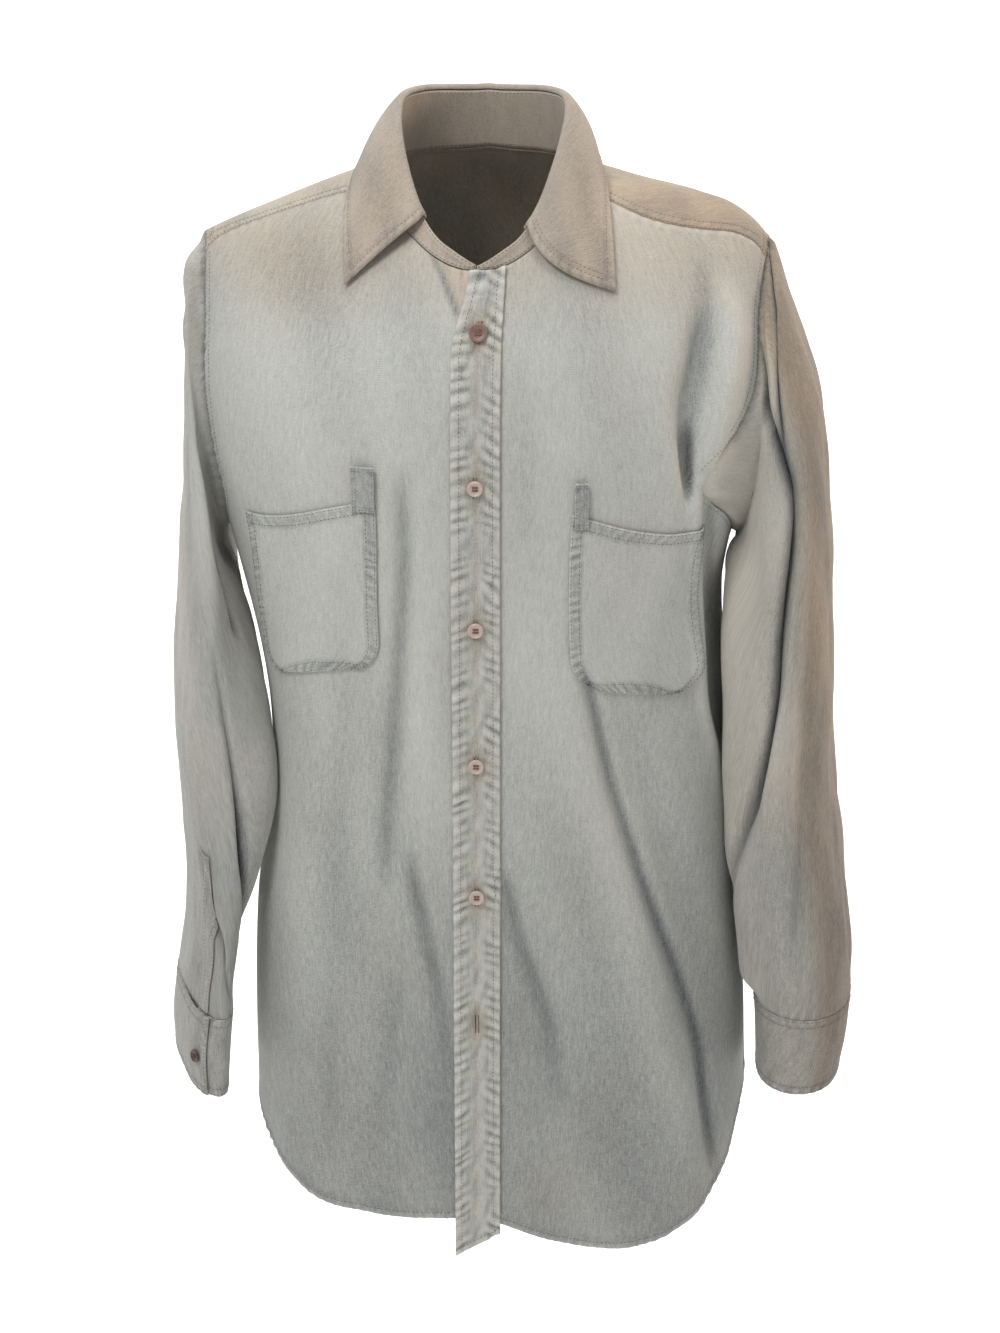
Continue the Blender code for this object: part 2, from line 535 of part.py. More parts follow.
def solid(name, points, faces, colour, roughness=0.9, metallic=0.0):
    """A closed mesh object with its own material and its faces pointing out."""
    mesh = bpy.data.meshes.new(name)
    mesh.from_pydata([tuple(p) for p in points], [], faces)
    tidy = bmesh.new()
    tidy.from_mesh(mesh)
    bmesh.ops.recalc_face_normals(tidy, faces=tidy.faces)
    tidy.to_mesh(mesh)
    tidy.free()
    mesh.shade_smooth()
    mesh.set_sharp_from_angle(angle=math.radians(50))
    material = bpy.data.materials.new(name)
    material.use_nodes = True
    shader = material.node_tree.nodes["Principled BSDF"]
    shader.inputs["Base Color"].default_value = (*colour, 1.0)
    shader.inputs["Roughness"].default_value = roughness
    shader.inputs["Metallic"].default_value = metallic
    mesh.materials.append(material)
    item = bpy.data.objects.new(name, mesh)
    bpy.context.scene.collection.objects.link(item)
    return item


# --- sleeves -----------------------------------------------------------------------------------------------
def ring(row, sign):
    """A sleeve's ring from its row: an oval through the outer and inner edges, turned about the upright."""
    out_x, out_z, in_x, in_z, mid_y, half_depth, turn = row
    turn = math.radians(turn)
    half_x, half_z = (out_x - in_x) / 2, (out_z - in_z) / 2
    width = math.sqrt(max(half_x ** 2 - (half_depth * math.sin(turn)) ** 2, 0.010 ** 2)) / math.cos(turn)
    angle = np.arange(ARM_STEPS) * 2 * math.pi / ARM_STEPS
    outwards = np.array([sign * math.cos(turn), -math.sin(turn), 0.0])
    forwards = np.array([-sign * math.sin(turn), -math.cos(turn), 0.0])
    centre = np.array([sign * (out_x + in_x) / 2, mid_y, (out_z + in_z) / 2])
    across = np.cos(angle)[:, None] * (outwards * width + np.array([0.0, 0.0, half_z]))
    ahead = np.sign(np.sin(angle)) * np.abs(np.sin(angle)) ** FLATNESS
    return centre + across + ahead[:, None] * forwards * half_depth


def sleeve_rings(sign, rows, first, normal):
    """All rings of a sleeve: the armhole, a ring just outside it, and those of the table, evenly spaced."""
    turn = np.arange(ARM_STEPS) * 2 * math.pi / ARM_STEPS
    hole = unit(first.mean(axis=0) - first)
    hole = unit(hole - normal * (hole * normal).sum(axis=1, keepdims=True))
    top = ((1 + np.cos(turn)) / 2)[:, None]
    start = first + hole * (SEAM + CLOTH / 2 * 0.7 * (1 - top))
    step = first + (ring(rows[0], sign) - first) * 0.35 + normal * 0.0012
    knots = np.arange(len(rows))
    at = np.linspace(0, len(rows) - 1, SLEEVE_RINGS - 2)
    table = np.stack([smooth(at, knots, rows[:, k]) for k in range(rows.shape[1])], axis=1)
    return np.stack([start, step] + [ring(row, sign) for row in table]), unit(normal - hole * 0.9 * (1 - top))


def tube_normals(rings):
    """Outward normals of a tube of rings."""
    along = np.gradient(rings, axis=0)
    round_it = np.roll(rings, -1, axis=1) - np.roll(rings, 1, axis=1)
    normal = unit(np.cross(along, round_it))
    outward_side = ((rings - rings.mean(axis=1, keepdims=True)) * normal).sum(axis=(1, 2), keepdims=True)
    return normal * np.sign(outward_side)


def sleeve_folds(rings, normal, folds):
    """The sleeve's rings with its folds, none at the armhole and few at the cuff."""
    share = np.linspace(0, 1, len(rings))[:, None]
    turn = (np.arange(ARM_STEPS) / ARM_STEPS)[None, :]
    total = np.zeros(rings.shape[:2])
    for turn_top, turn_foot, top, foot, half, depth in folds:
        t = (share - top) / (foot - top)
        line = turn_top + (turn_foot - turn_top) * t
        away = np.abs((turn - line + 0.5) % 1.0 - 0.5)
        fade = ease((t + 0.05) / 0.2) * ease((1.05 - t) / 0.2)
        total += depth * np.exp(-(away / half) ** 2) * fade
    total *= ease(share / 0.12) * (1 - ease((share - 0.93) / 0.07))
    return rings - normal * total[..., None]


def make_sleeve(side, sign, rows, cuff_rows, folds, slit):
    """A sleeve, its cuff, its placket and the cuff's button."""
    phi, z, back = armhole(sign)
    edge, edge_normal = on_body(phi, z, back)
    yoke_part = np.r_[0:YOKE_END + 1, ARM_STEPS - BACK_YOKE_END:ARM_STEPS]
    psi = over_angle(phi[yoke_part], z[yoke_part], back[yoke_part])
    edge[yoke_part], edge_normal[yoke_part] = on_yoke(phi[yoke_part], psi)
    rings, edge_normal = sleeve_rings(sign, rows, edge, edge_normal)
    normal = tube_normals(rings)
    normal[0] = edge_normal
    rings = sleeve_folds(rings, normal, folds)
    normal = tube_normals(rings)
    normal[0] = edge_normal
    wall(f"sleeve_{side}", drawn_in(rings, ("bottom",)), normal, CLOTH, DENIM, closed=True)

    lower = np.stack([rings[-1]] + [ring(row, sign) for row in cuff_rows])
    lower_normal = tube_normals(lower)
    lower_normal[0] = normal[-1]
    order = (slit + np.arange(-CUFF_LAP // 2, ARM_STEPS + CUFF_LAP // 2 + 1)) % ARM_STEPS
    steps = np.arange(len(order))
    rise = CUFF_STEP * ease((steps - (ARM_STEPS - 3)) / 3)
    grid, grid_normal = lower[:, order], lower_normal[:, order]
    lift = (DOUBLE - CLOTH) / 2
    cuff = drawn_in(grid + grid_normal * (rise + lift)[None, :, None], ("top",), SEAM)
    wall(f"cuff_{side}", cuff, grid_normal, DOUBLE, DENIM_WORN)

    rows_used = slice(SLEEVE_RINGS - 1 - PLACKET_RINGS, SLEEVE_RINGS)
    columns = [(slit - 1) % ARM_STEPS, slit, (slit + 1) % ARM_STEPS]
    strip, strip_normal = rings[rows_used][:, columns], normal[rows_used][:, columns]
    strip[:, 0] += (strip[:, 1] - strip[:, 0]) * 0.35
    strip[:, 2] += (strip[:, 1] - strip[:, 2]) * 0.35
    strip = strip + strip_normal * (CLOTH + LIFT)
    wall(f"sleeve_placket_{side}", drawn_in(strip, ("bottom",), 0.0025), strip_normal, CLOTH, DENIM_WORN)

    seat = (cuff[1, -2] + cuff[1, -3]) / 2
    facing = unit(grid_normal[1, -2] + grid_normal[1, -3])
    make_button(f"cuff_button_{side}", seat, facing, DOUBLE / 2 + BUTTON_LIFT, BUTTON_BROWN, 0.92)


# --- small pieces ------------------------------------------------------------------------------------------
def make_button(name, seat, facing, lift, colour, size=1.0):
    """A round button: a turned profile with a raised rim, a dished face and a flat back."""
    radius, height = BUTTON_RADIUS * size, BUTTON_HEIGHT
    profile = ((0.0, 0.0), (0.80, 0.0), (1.0, 0.30), (1.0, 0.62), (0.86, 1.0), (0.66, 0.74), (0.0, 0.66))
    sides = 16
    facing = unit(np.asarray(facing, float))
    across = unit(np.cross(facing, (0.0, 0.0, 1.0)))
    up = np.cross(across, facing)
    base = np.asarray(seat) + facing * lift
    points = [base]
    for out, rise in profile[1:-1]:
        for k in range(sides):
            angle = 2 * math.pi * k / sides
            around = across * math.cos(angle) + up * math.sin(angle)
            points.append(base + around * radius * out + facing * height * rise)
    points.append(base + facing * height * profile[-1][1])
    faces = [(0, 1 + (k + 1) % sides, 1 + k) for k in range(sides)]
    rings = len(profile) - 2
    for r in range(rings - 1):
        for k in range(sides):
            a, b = 1 + r * sides + k, 1 + r * sides + (k + 1) % sides
            faces += [(a, b, b + sides), (a, b + sides, a + sides)]
    top, last = len(points) - 1, 1 + (rings - 1) * sides
    faces += [(last + k, last + (k + 1) % sides, top) for k in range(sides)]
    return solid(name, points, faces, colour, roughness=0.45)


def placket_edges(z):
    """x of the placket's right and left edges at heights z."""
    parted = ease((z - OPEN_BOTTOM) / (OPEN_TOP - OPEN_BOTTOM)) * PART_LEFT
    return -PLACKET_HALF + parted, PLACKET_HALF + parted * 0.9


def make_placket(front_rows):
    """The buttonhole placket: a strip over both fronts' edges, with a slanting lower end below the hem."""
    columns = np.linspace(0, 1, 4)[None, :]
    right, left = placket_edges(np.array(OPEN_TOP))
    plan = neck_plan(neck_turn_at(right + (left - right) * columns))
    top = height_at(*plan)[0] - SEAM
    foot = PLACKET_HEM_RIGHT + (PLACKET_HEM_LEFT - PLACKET_HEM_RIGHT) * columns
    down = (front_rows[:, None] - front_rows[0]) / (front_rows[-1] - front_rows[0])
    z = top + (foot - top) * down
    right, left = placket_edges(z)
    x = right + (left - right) * columns
    phi = section_angle(x, z)
    lift = CLOTH / 2 + LIFT + DOUBLE / 2
    middle, normal = on_body(phi, z, np.zeros(z.shape, bool), lift)
    wall("front_placket", middle, normal, DOUBLE, DENIM_WORN)


def make_pocket(side, grid, normal):
    """A patch pocket made from the front's own points, moved out, with its lower corners rounded."""
    rows = slice(POCKET_ROWS[0], POCKET_ROWS[1] + 1)
    cols = slice(POCKET_COLS[0], POCKET_COLS[1] + 1)
    middle = (grid + normal * (CLOTH + LIFT))[rows, cols].copy()
    facing = normal[rows, cols].copy()
    for corner, beside in ((0, 1), (-1, -2)):
        middle[-1, corner] += (middle[-2, beside] - middle[-1, corner]) * CORNER
        middle[-1, beside] += (middle[-2, beside] - middle[-1, beside]) * CORNER * 0.26
        middle[-2, corner] += (middle[-2, beside] - middle[-2, corner]) * CORNER * 0.20
    wall(f"pocket_{side}", middle, facing, CLOTH, DENIM)


def make_pocket_strip(side, strip):
    """The short upright strip at a pocket's inner top corner, over the pocket's edge and the front above."""
    inner, outer, top, foot = strip
    x, z = np.meshgrid(np.linspace(inner, outer, 3), np.linspace(top, foot, 4))
    middle, normal = on_body(section_angle(x, z), z, False, 2 * (CLOTH + LIFT))
    wall(f"pocket_strip_{side}", middle, normal, CLOTH, DENIM_DARK)


def neckline():
    """Points of the neckline on the body, from the right front's edge round the back to the left front's."""
    loops = []
    for sign in (-1, 1):
        phi, z = (edge[:NECK_COLS + 1] for edge in front_top(sign))
        point, _ = on_body(phi, z, np.zeros(phi.shape, bool))
        loops.append(point)
    phi, z, back = neck_back()
    psi = over_angle(phi, z, back)
    point, _ = on_yoke(phi, psi)
    return np.concatenate([loops[0], point[1:-1], loops[1][::-1]])


def neck_turn(points):
    """Angle round the neck from the front, nought to 180 degrees, of plan points."""
    return np.degrees(np.arctan2(np.abs(points[:, 0]), -(points[:, 1] - NECK_Y)))


def stand_rows():
    """The stand's lower and upper edge: up from the neckline, leaning in by the table."""
    foot = neckline()
    x, y = neck_plan(neck_turn_at(np.linspace(foot[-1, 0], STAND_END, 4)[1:]))
    z, phi = height_at(x, y)
    foot = np.concatenate([foot, on_body(phi, z, False)[0]])
    turn = neck_turn(foot)
    height = smooth(turn, STAND[:, 0], STAND[:, 1])
    lean = smooth(turn, STAND[:, 0], STAND[:, 2])
    centre = np.array([0.0, NECK_Y, 0.0])
    inwards = centre - foot
    inwards[:, 2] = 0
    inwards = unit(inwards)
    top = foot + inwards * lean[:, None] + np.array([0, 0, 1.0]) * height[:, None]
    rise = unit(top - foot)
    return foot + rise * STAND_GAP, top, inwards, rise


def make_collar():
    """The stand round the neck, and the leaf that turns over its top and falls to its two points."""
    foot, top, inwards, rise = stand_rows()
    share = np.linspace(0, 1, 3)[:, None, None]
    grid = foot[None] * (1 - share) + top[None] * share
    along = np.gradient(foot, axis=0)
    stand_normal = unit(np.cross(along, rise))
    stand_normal *= np.where((stand_normal * inwards).sum(axis=1, keepdims=True) > 0, -1.0, 1.0)
    wall("collar_stand", grid, np.broadcast_to(stand_normal, grid.shape), DOUBLE, DENIM_WORN)

    keep = np.arange(LEAF_START_RIGHT, len(top) - LEAF_START_LEFT)
    edge, out, up = top[keep], -inwards[keep], rise[keep]
    length = np.concatenate([[0], np.cumsum(np.linalg.norm(np.diff(edge, axis=0), axis=1))])
    along_share = length / length[-1]
    plan = np.stack([smooth(along_share, LEAF_EDGE[:, 0], LEAF_EDGE[:, k]) for k in (1, 2)], axis=1)
    z, phi = height_at(plan[:, 0], plan[:, 1])
    fall, fall_normal = on_yoke(phi, over_angle(phi, z, plan[:, 1] > RIDGE_Y))
    fall = fall + fall_normal * LEAF_LIFT
    rows = []
    base = edge + up * SEAM * 2
    for bend in (0, 60, 120, 165):
        angle = math.radians(bend)
        rows.append(base + out * ROLL * (1 - math.cos(angle)) + up * ROLL * math.sin(angle))
    start = rows[-1]
    swell = np.clip((along_share - 0.84) / 0.16, 0, 1)[:, None] ** 2 * LEAF_SWELL
    for t in (0.30, 0.62, 1.0):
        bulge = (out * 0.004 + swell) * math.sin(math.pi * t ** 0.8)
        rows.append(start + (fall - start) * t + bulge)
    leaf = np.stack(rows)
    normal = unit(np.cross(np.gradient(leaf, axis=1), np.gradient(leaf, axis=0)))
    if (normal[-2] * out).sum() < 0:
        normal = -normal
    normal[0] = -stand_normal[keep]
    wall("collar_leaf", leaf, normal, DOUBLE, DENIM_WORN)


# --- the shirt ---------------------------------------------------------------------------------------------
def make_body():
    """Fronts, back and yoke, with what lies on the fronts."""
    for side, sign in (("right", -1), ("left", 1)):
        grid = front_grid(sign)
        middle, normal = on_body(grid[..., 0], grid[..., 1], False)
        middle = drawn_in(middle, ("top", "first", "last"))
        wall(f"front_{side}", middle, normal, CLOTH, DENIM)
        make_pocket(side, middle, normal)
        make_pocket_strip(side, STRIP_RIGHT if sign < 0 else STRIP_LEFT)
    make_placket(front_grid(1)[:, 0, 1])

    grid = back_grid()
    middle, normal = on_body(grid[..., 0], grid[..., 1], True)
    wall("back", drawn_in(middle, ("top", "first", "last")), normal, CLOTH, DENIM)

    grid = yoke_grid()
    middle, normal = on_yoke(grid[..., 0], grid[..., 1])
    wall("yoke", drawn_in(middle, ("top", "bottom", "first", "last")), normal, CLOTH, DENIM)


def make_front_buttons():
    """The buttons down the middle of the placket; the sixth buttonhole is empty."""
    for k in range(BUTTONS):
        z = np.array(FIRST_BUTTON_Z - BUTTON_PITCH * k)
        right, left = placket_edges(z)
        phi = section_angle((right + left) / 2, z)
        lift = CLOTH / 2 + LIFT + DOUBLE
        seat, facing = on_body(phi, z, np.array(False), lift)
        colour, size = (BUTTON_BROWN, 1.15) if k == 0 else (BUTTON_PINK, 1.0)
        make_button(f"button_{k + 1}", seat, facing, BUTTON_LIFT, colour, size)


def main():
    for item in list(bpy.data.objects):
        bpy.data.objects.remove(item, do_unlink=True)
    make_body()
    make_collar()
    make_sleeve("right", -1, SLEEVE_RIGHT, CUFF_RIGHT, SLEEVE_RIGHT_FOLDS, SLIT_RIGHT)
    make_sleeve("left", 1, SLEEVE_LEFT, CUFF_LEFT, SLEEVE_LEFT_FOLDS, SLIT_LEFT)
    make_front_buttons()


main()
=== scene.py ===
"""The looks of a man's long-sleeved denim shirt, held in the form it has when worn, with nobody in it.

Metres, +Z up. The shirt's front faces -Y and the wearer's left is at +X. Every cut piece is a Cloth: a grid
of points on the middle of the cloth, with its normals, its lengths along warp and weft, and its brightness,
which holds both wear and painted light and shade.
"""

import logging
import math
from dataclasses import dataclass, field, replace
from enum import Enum

import bpy
import numpy as np
from mathutils import Matrix


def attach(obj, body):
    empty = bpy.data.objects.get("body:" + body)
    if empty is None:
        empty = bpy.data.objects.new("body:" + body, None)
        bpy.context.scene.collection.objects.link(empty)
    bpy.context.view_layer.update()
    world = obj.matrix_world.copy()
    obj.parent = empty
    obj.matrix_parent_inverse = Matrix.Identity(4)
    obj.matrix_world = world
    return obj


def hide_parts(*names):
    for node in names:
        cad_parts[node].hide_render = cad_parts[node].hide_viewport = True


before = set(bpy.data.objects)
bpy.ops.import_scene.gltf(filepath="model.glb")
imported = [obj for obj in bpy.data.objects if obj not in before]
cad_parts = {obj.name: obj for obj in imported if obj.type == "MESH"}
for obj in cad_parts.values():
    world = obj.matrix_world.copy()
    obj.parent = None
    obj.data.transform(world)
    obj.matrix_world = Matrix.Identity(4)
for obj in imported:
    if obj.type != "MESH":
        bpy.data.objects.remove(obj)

LOG = logging.getLogger("denim_shirt")
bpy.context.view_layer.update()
Array = np.ndarray


def table(*rows: tuple[float, ...]) -> Array:
    """A dataclass field that holds a table of numbers."""
    return field(default_factory=lambda: np.array(rows, float))


# what the columns of the tables below are divided by
IN_MM = (1000,) * 4
IN_SHARES = (100, 100, 1000, 1000)
IN_SHADES = (100, 100, 1000, 100)
IN_RINGS = (1000,) * 6 + (1,)


def lines(per: tuple[int, ...], *rows: list[tuple[float, ...]]) -> tuple[Array, ...]:
    """One table for each list of rows, its columns divided by per."""
    return tuple(np.array(line, float) / per for line in rows)


def curve(at: Array, knots: Array, values: Array) -> Array:
    """A curve through rows of values: cubic pieces with central-difference slopes, level beyond the ends.

    Args:
        at: where to read the curve.
        knots: the rows' places, rising.
        values: one value, or one array of values, for each row.

    Returns:
        The values at each place asked for.
    """
    knots, values = np.asarray(knots, float), np.asarray(values, float)
    slopes = np.gradient(values, knots, axis=0)
    at = np.clip(np.asarray(at, float), knots[0], knots[-1])
    low = np.clip(np.searchsorted(knots, at, side="right") - 1, 0, len(knots) - 2)
    gap = knots[low + 1] - knots[low]
    t = (at - knots[low]) / gap
    spread = (...,) + (None,) * (values.ndim - 1)
    gap, t = gap[spread], t[spread]
    return ((1 + 2 * t) * (1 - t) ** 2 * values[low] + t * (1 - t) ** 2 * gap * slopes[low]
            + t * t * (3 - 2 * t) * values[low + 1] + t * t * (t - 1) * gap * slopes[low + 1])


def unit(vectors: Array) -> Array:
    """Vectors scaled to length one."""
    return vectors / np.maximum(np.linalg.norm(vectors, axis=-1, keepdims=True), 1e-12)


def ease(t: Array) -> Array:
    """Nought to one with level ends."""
    t = np.clip(t, 0, 1)
    return t * t * (3 - 2 * t)


def bell(away: Array, half: Array) -> Array:
    """A bell curve: one at nought, falling off over half."""
    return np.exp(-(away / half) ** 2)


def apart(turn: Array, line: Array) -> Array:
    """How far turns lie from a line round a ring, the shorter way, in turns."""
    return np.abs((turn - line + 0.5) % 1.0 - 0.5)


def lengths_along(line: Array) -> Array:
    """Lengths along a line of points, nought at its first."""
    return np.concatenate([[0], np.cumsum(np.linalg.norm(np.diff(line, axis=0), axis=1))])


def in_two(split: float, last: float, count: tuple[int, int]) -> Array:
    """Places from nought to last: so many up to a split and so many from it on, the split in both counts."""
    return np.concatenate([np.linspace(0, split, count[0]), np.linspace(split, last, count[1])[1:]])


def ripple(across: Array, along: Array, width: float, length: float, seed: int, waves: int = 9) -> Array:
    """Soft unevenness: a sum of sine waves of random phase whose crests run mostly along the cloth.

    Args:
        across: metres across the crests.
        along: metres along the crests.
        width: usual distance from crest to crest.
        length: usual length of a crest.
        seed: number that fixes the random phases.
        waves: how many waves are summed.

    Returns:
        Heights from about minus one to one.
    """
    rng = np.random.default_rng(seed)
    total = np.zeros(np.broadcast(across, along).shape)
    for _ in range(waves):
        wide, long = width * rng.uniform(0.6, 1.7), length * rng.uniform(0.6, 1.8) * rng.choice((-1, 1))
        total = total + rng.uniform(0.5, 1.0) * np.sin(
            2 * math.pi * (across / wide + along / long) + rng.uniform(0, 2 * math.pi))
    return total / math.sqrt(waves)


def coons(top: Array, foot: Array, first: Array, last: Array, down: Array, across: Array) -> Array:
    """A grid between four edges: the two ruled blends of opposite edges less the corners' blend.

    Args:
        top: the upper edge's points, one for each column.
        foot: the lower edge's.
        first: the first side's points, one for each row.
        last: the other side's.
        down: each row's share of the way from top to foot.
        across: each column's share of the way from first to last.

    Returns:
        Points by row and column.
    """
    v, u = down[:, None, None], across[None, :, None]
    ruled = (1 - v) * top[None] + v * foot[None] + (1 - u) * first[:, None] + u * last[:, None]
    corners = ((1 - u) * (1 - v) * top[0] + u * (1 - v) * top[-1] + (1 - u) * v * foot[0] + u * v * foot[-1])
    return ruled - corners


class Side(Enum):
    """The wearer's right and left, by the sign of x there."""

    RIGHT = -1
    LEFT = 1

    @property
    def word(self) -> str:
        """The side's name in node names."""
        return self.name.lower()


class Edge(Enum):
    """The four edges of a cloth's grid."""

    TOP = "top"
    FOOT = "foot"
    FIRST = "first"
    LAST = "last"


# --- finishes ----------------------------------------------------------------------------------------------
class Dye:
    """Lays out the nodes of one material, column by column."""

    def __init__(self, name: str) -> None:
        """Start a material that holds only its shader and output."""
        self.material = bpy.data.materials.new(name)
        self.material.use_nodes = True
        self.tree = self.material.node_tree
        self.shader = self.tree.nodes["Principled BSDF"]

    def add(self, kind: str, settings: dict | None = None, **sockets: object) -> bpy.types.Node:
        """Add a node.

        Args:
            kind: the node's type without its ShaderNode prefix.
            settings: the node's own properties.
            sockets: inputs by name, or by in0, in1 and so on, each a value or another node's output.

        Returns:
            The node.
        """
        node = self.tree.nodes.new(f"ShaderNode{kind}")
        for name, value in (settings or {}).items():
            setattr(node, name, value)
        for name, value in sockets.items():
            numbered = name[:2] == "in" and name[2:].isdigit()
            self.feed(node.inputs[int(name[2:]) if numbered else name], value)
        return node

    def scaled_sum(self, value: object, scale: float, plus: object,
                   clamp: bool = False) -> bpy.types.NodeSocket:
        """A value times a scale, plus another."""
        return self.add("Math", {"operation": "MULTIPLY_ADD", "use_clamp": clamp}, in0=value, in1=scale,
                        in2=plus).outputs[0]

    def roughen(self, height: bpy.types.NodeSocket, strength: float, distance: float) -> None:
        """Make a height the shader's bump."""
        bump = self.add("Bump", None, Height=height, Strength=strength, Distance=distance)
        self.feed(self.shader.inputs["Normal"], bump.outputs[0])

    def feed(self, socket: bpy.types.NodeSocket, value: object) -> None:
        """Link another node's output to a socket, or set its value."""
        if isinstance(value, bpy.types.NodeSocket):
            self.tree.links.new(value, socket)
        else:
            socket.default_value = value

    def sum_of(self, *parts: tuple[object, float, float]) -> bpy.types.NodeSocket:
        """One plus the sum of parts, each a (socket, what is taken off it, strength)."""
        total: object = 1.0
        for socket, less, strength in parts:
            centred = self.add("Math", {"operation": "SUBTRACT"}, in0=socket, in1=less).outputs[0]
            total = self.scaled_sum(centred, strength, total)
        return total

    def noise(self, vector: bpy.types.NodeSocket, scale: tuple[float, float, float],
              detail: float = 2.0) -> bpy.types.NodeSocket:
        """Noise of a vector stretched by a scale on each axis."""
        mapped = self.add("Mapping", None, Vector=vector, Scale=scale)
        return self.add("TexNoise", None, Vector=mapped.outputs[0], Scale=1.0, Detail=detail).outputs["Fac"]


@dataclass(frozen=True)
class Denim:
    """Washed denim: a pale weft under faded warp streaks, warmer where it has yellowed."""

    name: str
    colour: tuple[float, float, float] = (0.500, 0.505, 0.470)
    warm: tuple[float, float, float] = (0.475, 0.375, 0.270)
    dark: tuple[float, float, float] = (0.22, 0.25, 0.27)
    streaks: float = 0.40
    speckle: float = 0.44
    blotches: float = 0.18
    weave: float = 0.35
    warmth: float = 0.0
    # noise to the metre across the warp and along it
    warp_fine: tuple[float, float, float] = (950.0, 115.0, 1.0)
    warp_broad: tuple[float, float, float] = (290.0, 42.0, 1.0)
    weft: tuple[float, float, float] = (190.0, 1000.0, 1.0)
    grains: tuple[float, float, float] = (950.0, 700.0, 1.0)
    heather: tuple[float, float, float] = (430.0, 190.0, 1.0)
    twill_turn: float = math.radians(28)
    twill: float = 360.0
    # how strongly the stain shows, how dull the cloth is and how much it shines at a glancing angle
    stained: float = 0.16
    roughness: float = 0.92
    gloss: float = 0.18
    sheen: float = 0.22
    sheen_roughness: float = 0.45

    def dress(self) -> bpy.types.Material:
        """Build the material: warp streaks and speckle on the cloth's own lengths, blotches in space.

        Returns:
            The material.
        """
        dye = Dye(self.name)
        cloth = dye.add("UVMap", {"uv_map": "cloth"}).outputs[0]
        space = dye.add("TexCoord").outputs["Object"]
        # the brightness attribute holds wear and random tone, and also painted light and shade; the warm one
        # holds yellowing, the painted warm rim light and the brown of the painted shade bands
        fade = dye.add("Attribute", {"attribute_name": "fade"}).outputs["Fac"]
        warm = dye.add("Attribute", {"attribute_name": "warm"}).outputs["Fac"]
        fine = dye.noise(cloth, self.warp_fine, 3.0)
        broad, weft, speck, heather = (dye.noise(cloth, scale) for scale in (
            self.warp_broad, self.weft, self.grains, self.heather))
        blotch = dye.noise(space, (7.0, 7.0, 5.0), 3.0)
        stain = dye.noise(space, (16.0, 16.0, 11.0), 4.0)

        light = dye.sum_of((fine, 0.5, self.streaks), (broad, 0.5, self.streaks * 0.50),
                           (weft, 0.5, self.streaks * 0.50), (speck, 0.5, self.speckle),
                           (heather, 0.5, self.speckle * 0.40),
                           (blotch, 0.5, self.blotches), (fade, 0.0, 1.0))
        tint = dye.scaled_sum(dye.scaled_sum(stain, 1.6, -0.72), self.stained, self.warmth, True)
        tint = dye.add("Math", {"operation": "ADD", "use_clamp": True}, in0=tint, in1=warm).outputs[0]
        mixed = dye.add("MixRGB", None, Fac=tint, Color1=(*self.colour, 1), Color2=(*self.warm, 1)).outputs[0]
        # darker brightness, painted shade included, mixes the colour towards the dark one
        depth = dye.scaled_sum(light, -1.1, 1.1, True)
        mixed = dye.add("MixRGB", None, Fac=depth, Color1=mixed, Color2=(*self.dark, 1)).outputs[0]
        shade = dye.add("VectorMath", {"operation": "SCALE"}, in0=mixed, Scale=light).outputs[0]
        dye.feed(dye.shader.inputs["Base Color"], shade)

        turned = dye.add("Mapping", None, Vector=cloth, Rotation=(0.0, 0.0, self.twill_turn))
        twill = dye.add("TexWave", {"wave_type": "BANDS", "bands_direction": "X"}, Vector=turned.outputs[0],
                        Scale=self.twill, Distortion=1.2, Detail=1.0).outputs["Fac"]
        dye.roughen(dye.scaled_sum(speck, 1.3, dye.scaled_sum(fine, 1.1, twill)), self.weave, 0.0004)
        for socket, value in (("Roughness", self.roughness), ("Specular IOR Level", self.gloss),
                              ("Sheen Weight", self.sheen), ("Sheen Roughness", self.sheen_roughness)):
            dye.shader.inputs[socket].default_value = value
        return dye.material


@dataclass(frozen=True)
class Moulded:
    """A moulded button's finish: clouded colour with a soft gloss."""

    name: str
    colour: tuple[float, float, float]
    cloud: tuple[float, float, float]
    roughness: float = 0.34

    def dress(self) -> bpy.types.Material:
        """Build the material from two colours mixed by noise, with a little grain in the gloss."""
        dye = Dye(self.name)
        space = dye.add("TexCoord").outputs["Object"]
        mist = dye.noise(space, (420.0, 420.0, 260.0), 3.0)
        grain = dye.noise(space, (2600.0, 2600.0, 2600.0), 2.0)
        mixed = dye.add("MixRGB", None, Fac=mist, Color1=(*self.colour, 1), Color2=(*self.cloud, 1))
        dye.feed(dye.shader.inputs["Base Color"], mixed.outputs[0])
        dye.feed(dye.shader.inputs["Roughness"], dye.scaled_sum(grain, 0.25, self.roughness - 0.12))
        dye.roughen(grain, 0.12, 0.0002)
        return dye.material


@dataclass(frozen=True)
class Thread:
    """Sewing thread: its colour, and the size of one stitch and the gap after it."""

    name: str
    colour: tuple[float, float, float] = (0.33, 0.32, 0.30)
    pitch: float = 0.0032
    share: float = 0.72
    radius: float = 0.00028

    def dress(self) -> bpy.types.Material:
        """Build the material: twisted strands as fine noise over the thread's colour."""
        dye = Dye(self.name)
        space = dye.add("TexCoord").outputs["Object"]
        strand = dye.noise(space, (3000.0, 3000.0, 3000.0), 2.0)
        light = dye.sum_of((strand, 0.5, 0.6))
        shade = dye.add("VectorMath", {"operation": "SCALE"}, in0=self.colour, Scale=light)
        dye.feed(dye.shader.inputs["Base Color"], shade.outputs[0])
        dye.roughen(strand, 0.3, 0.0002)
        dye.shader.inputs["Roughness"].default_value = 0.8
        return dye.material


